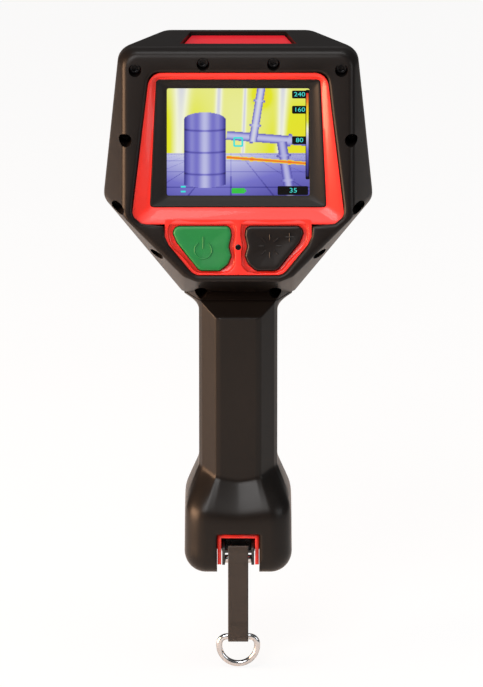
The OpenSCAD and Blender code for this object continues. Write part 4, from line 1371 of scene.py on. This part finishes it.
class CAMERA_OT_surround(Builder, bpy.types.Operator):
    """Build the red surround and the display frame"""

    bl_idname = "camera.surround"
    bl_label = "Surround and bezel"

    def execute(self, context):
        surround()
        bezel()
        return {"FINISHED"}


class CAMERA_OT_screen(Builder, bpy.types.Operator):
    """Build the lit screen with its read-outs"""

    bl_idname = "camera.screen"
    bl_label = "Screen"

    def execute(self, context):
        screen(context.scene.camera_shapes)
        readouts()
        return {"FINISHED"}


class CAMERA_OT_buttons(Builder, bpy.types.Operator):
    """Build the two buttons and the sensor window"""

    bl_idname = "camera.buttons"
    bl_label = "Buttons"

    def execute(self, context):
        buttons(context.scene.camera_shapes)
        sensor()
        return {"FINISHED"}


class CAMERA_OT_fittings(Builder, bpy.types.Operator):
    """Build the label plate, the screws and the hinge pin"""

    bl_idname = "camera.fittings"
    bl_label = "Plate, screws and pin"

    def execute(self, context):
        label_plate()
        head_screws()
        door_pin()
        return {"FINISHED"}


class CAMERA_OT_lens(Builder, bpy.types.Operator):
    """Build the infrared lens and its tube"""

    bl_idname = "camera.lens"
    bl_label = "Lens"

    def execute(self, context):
        lens()
        return {"FINISHED"}


class CAMERA_OT_grip(Builder, bpy.types.Operator):
    """Build the rubber sleeve of the grip"""

    bl_idname = "camera.grip"
    bl_label = "Grip"

    def execute(self, context):
        grip_boot()
        return {"FINISHED"}


class CAMERA_OT_strap(Builder, bpy.types.Operator):
    """Build the webbing strap and its ring"""

    bl_idname = "camera.strap"
    bl_label = "Strap and ring"

    def execute(self, context):
        strap(context.scene.camera_shapes)
        ring()
        return {"FINISHED"}


class CAMERA_OT_stage(Builder, bpy.types.Operator):
    """Set the floor, the lamps and the view"""

    bl_idname = "camera.stage"
    bl_label = "Stage"

    def execute(self, context):
        floor(context.scene.camera_stage)
        studio(context.scene.camera_stage)
        camera(context.scene.camera_stage)
        return {"FINISHED"}


PIECES = ("finishes", "covers", "surround", "screen", "buttons", "fittings", "lens", "grip", "strap", "stage")


class CAMERA_PT_sidebar(bpy.types.Panel):
    """Lists the operators and their settings"""

    bl_label = "Thermal imaging camera"
    bl_space_type = "VIEW_3D"
    bl_region_type = "UI"
    bl_category = "Camera"

    def draw(self, context):
        for piece in PIECES:
            self.layout.operator("camera." + piece)
        for group in (context.scene.camera_finishes, context.scene.camera_shapes, context.scene.camera_stage):
            box = self.layout.box()
            for key in group.bl_rna.properties.keys():
                if key not in ("rna_type", "name"):
                    box.prop(group, key)


CLASSES = (
    CameraFinishes, CameraShapes, CameraStage, CAMERA_OT_finishes, CAMERA_OT_covers, CAMERA_OT_surround,
    CAMERA_OT_screen, CAMERA_OT_buttons, CAMERA_OT_fittings, CAMERA_OT_lens, CAMERA_OT_grip, CAMERA_OT_strap,
    CAMERA_OT_stage, CAMERA_PT_sidebar,
)


def register():
    """Registers the classes and hangs their settings on the scene."""
    for cls in CLASSES:
        bpy.utils.register_class(cls)
    bpy.types.Scene.camera_finishes = bpy.props.PointerProperty(type=CameraFinishes)
    bpy.types.Scene.camera_shapes = bpy.props.PointerProperty(type=CameraShapes)
    bpy.types.Scene.camera_stage = bpy.props.PointerProperty(type=CameraStage)


def unregister():
    """Takes the settings and the classes away again."""
    del bpy.types.Scene.camera_stage, bpy.types.Scene.camera_shapes, bpy.types.Scene.camera_finishes
    for cls in reversed(CLASSES):
        bpy.utils.unregister_class(cls)


def main():
    """Builds every piece."""
    register()
    for piece in PIECES:
        getattr(bpy.ops.camera, piece)()


if __name__ == "__main__":
    main()
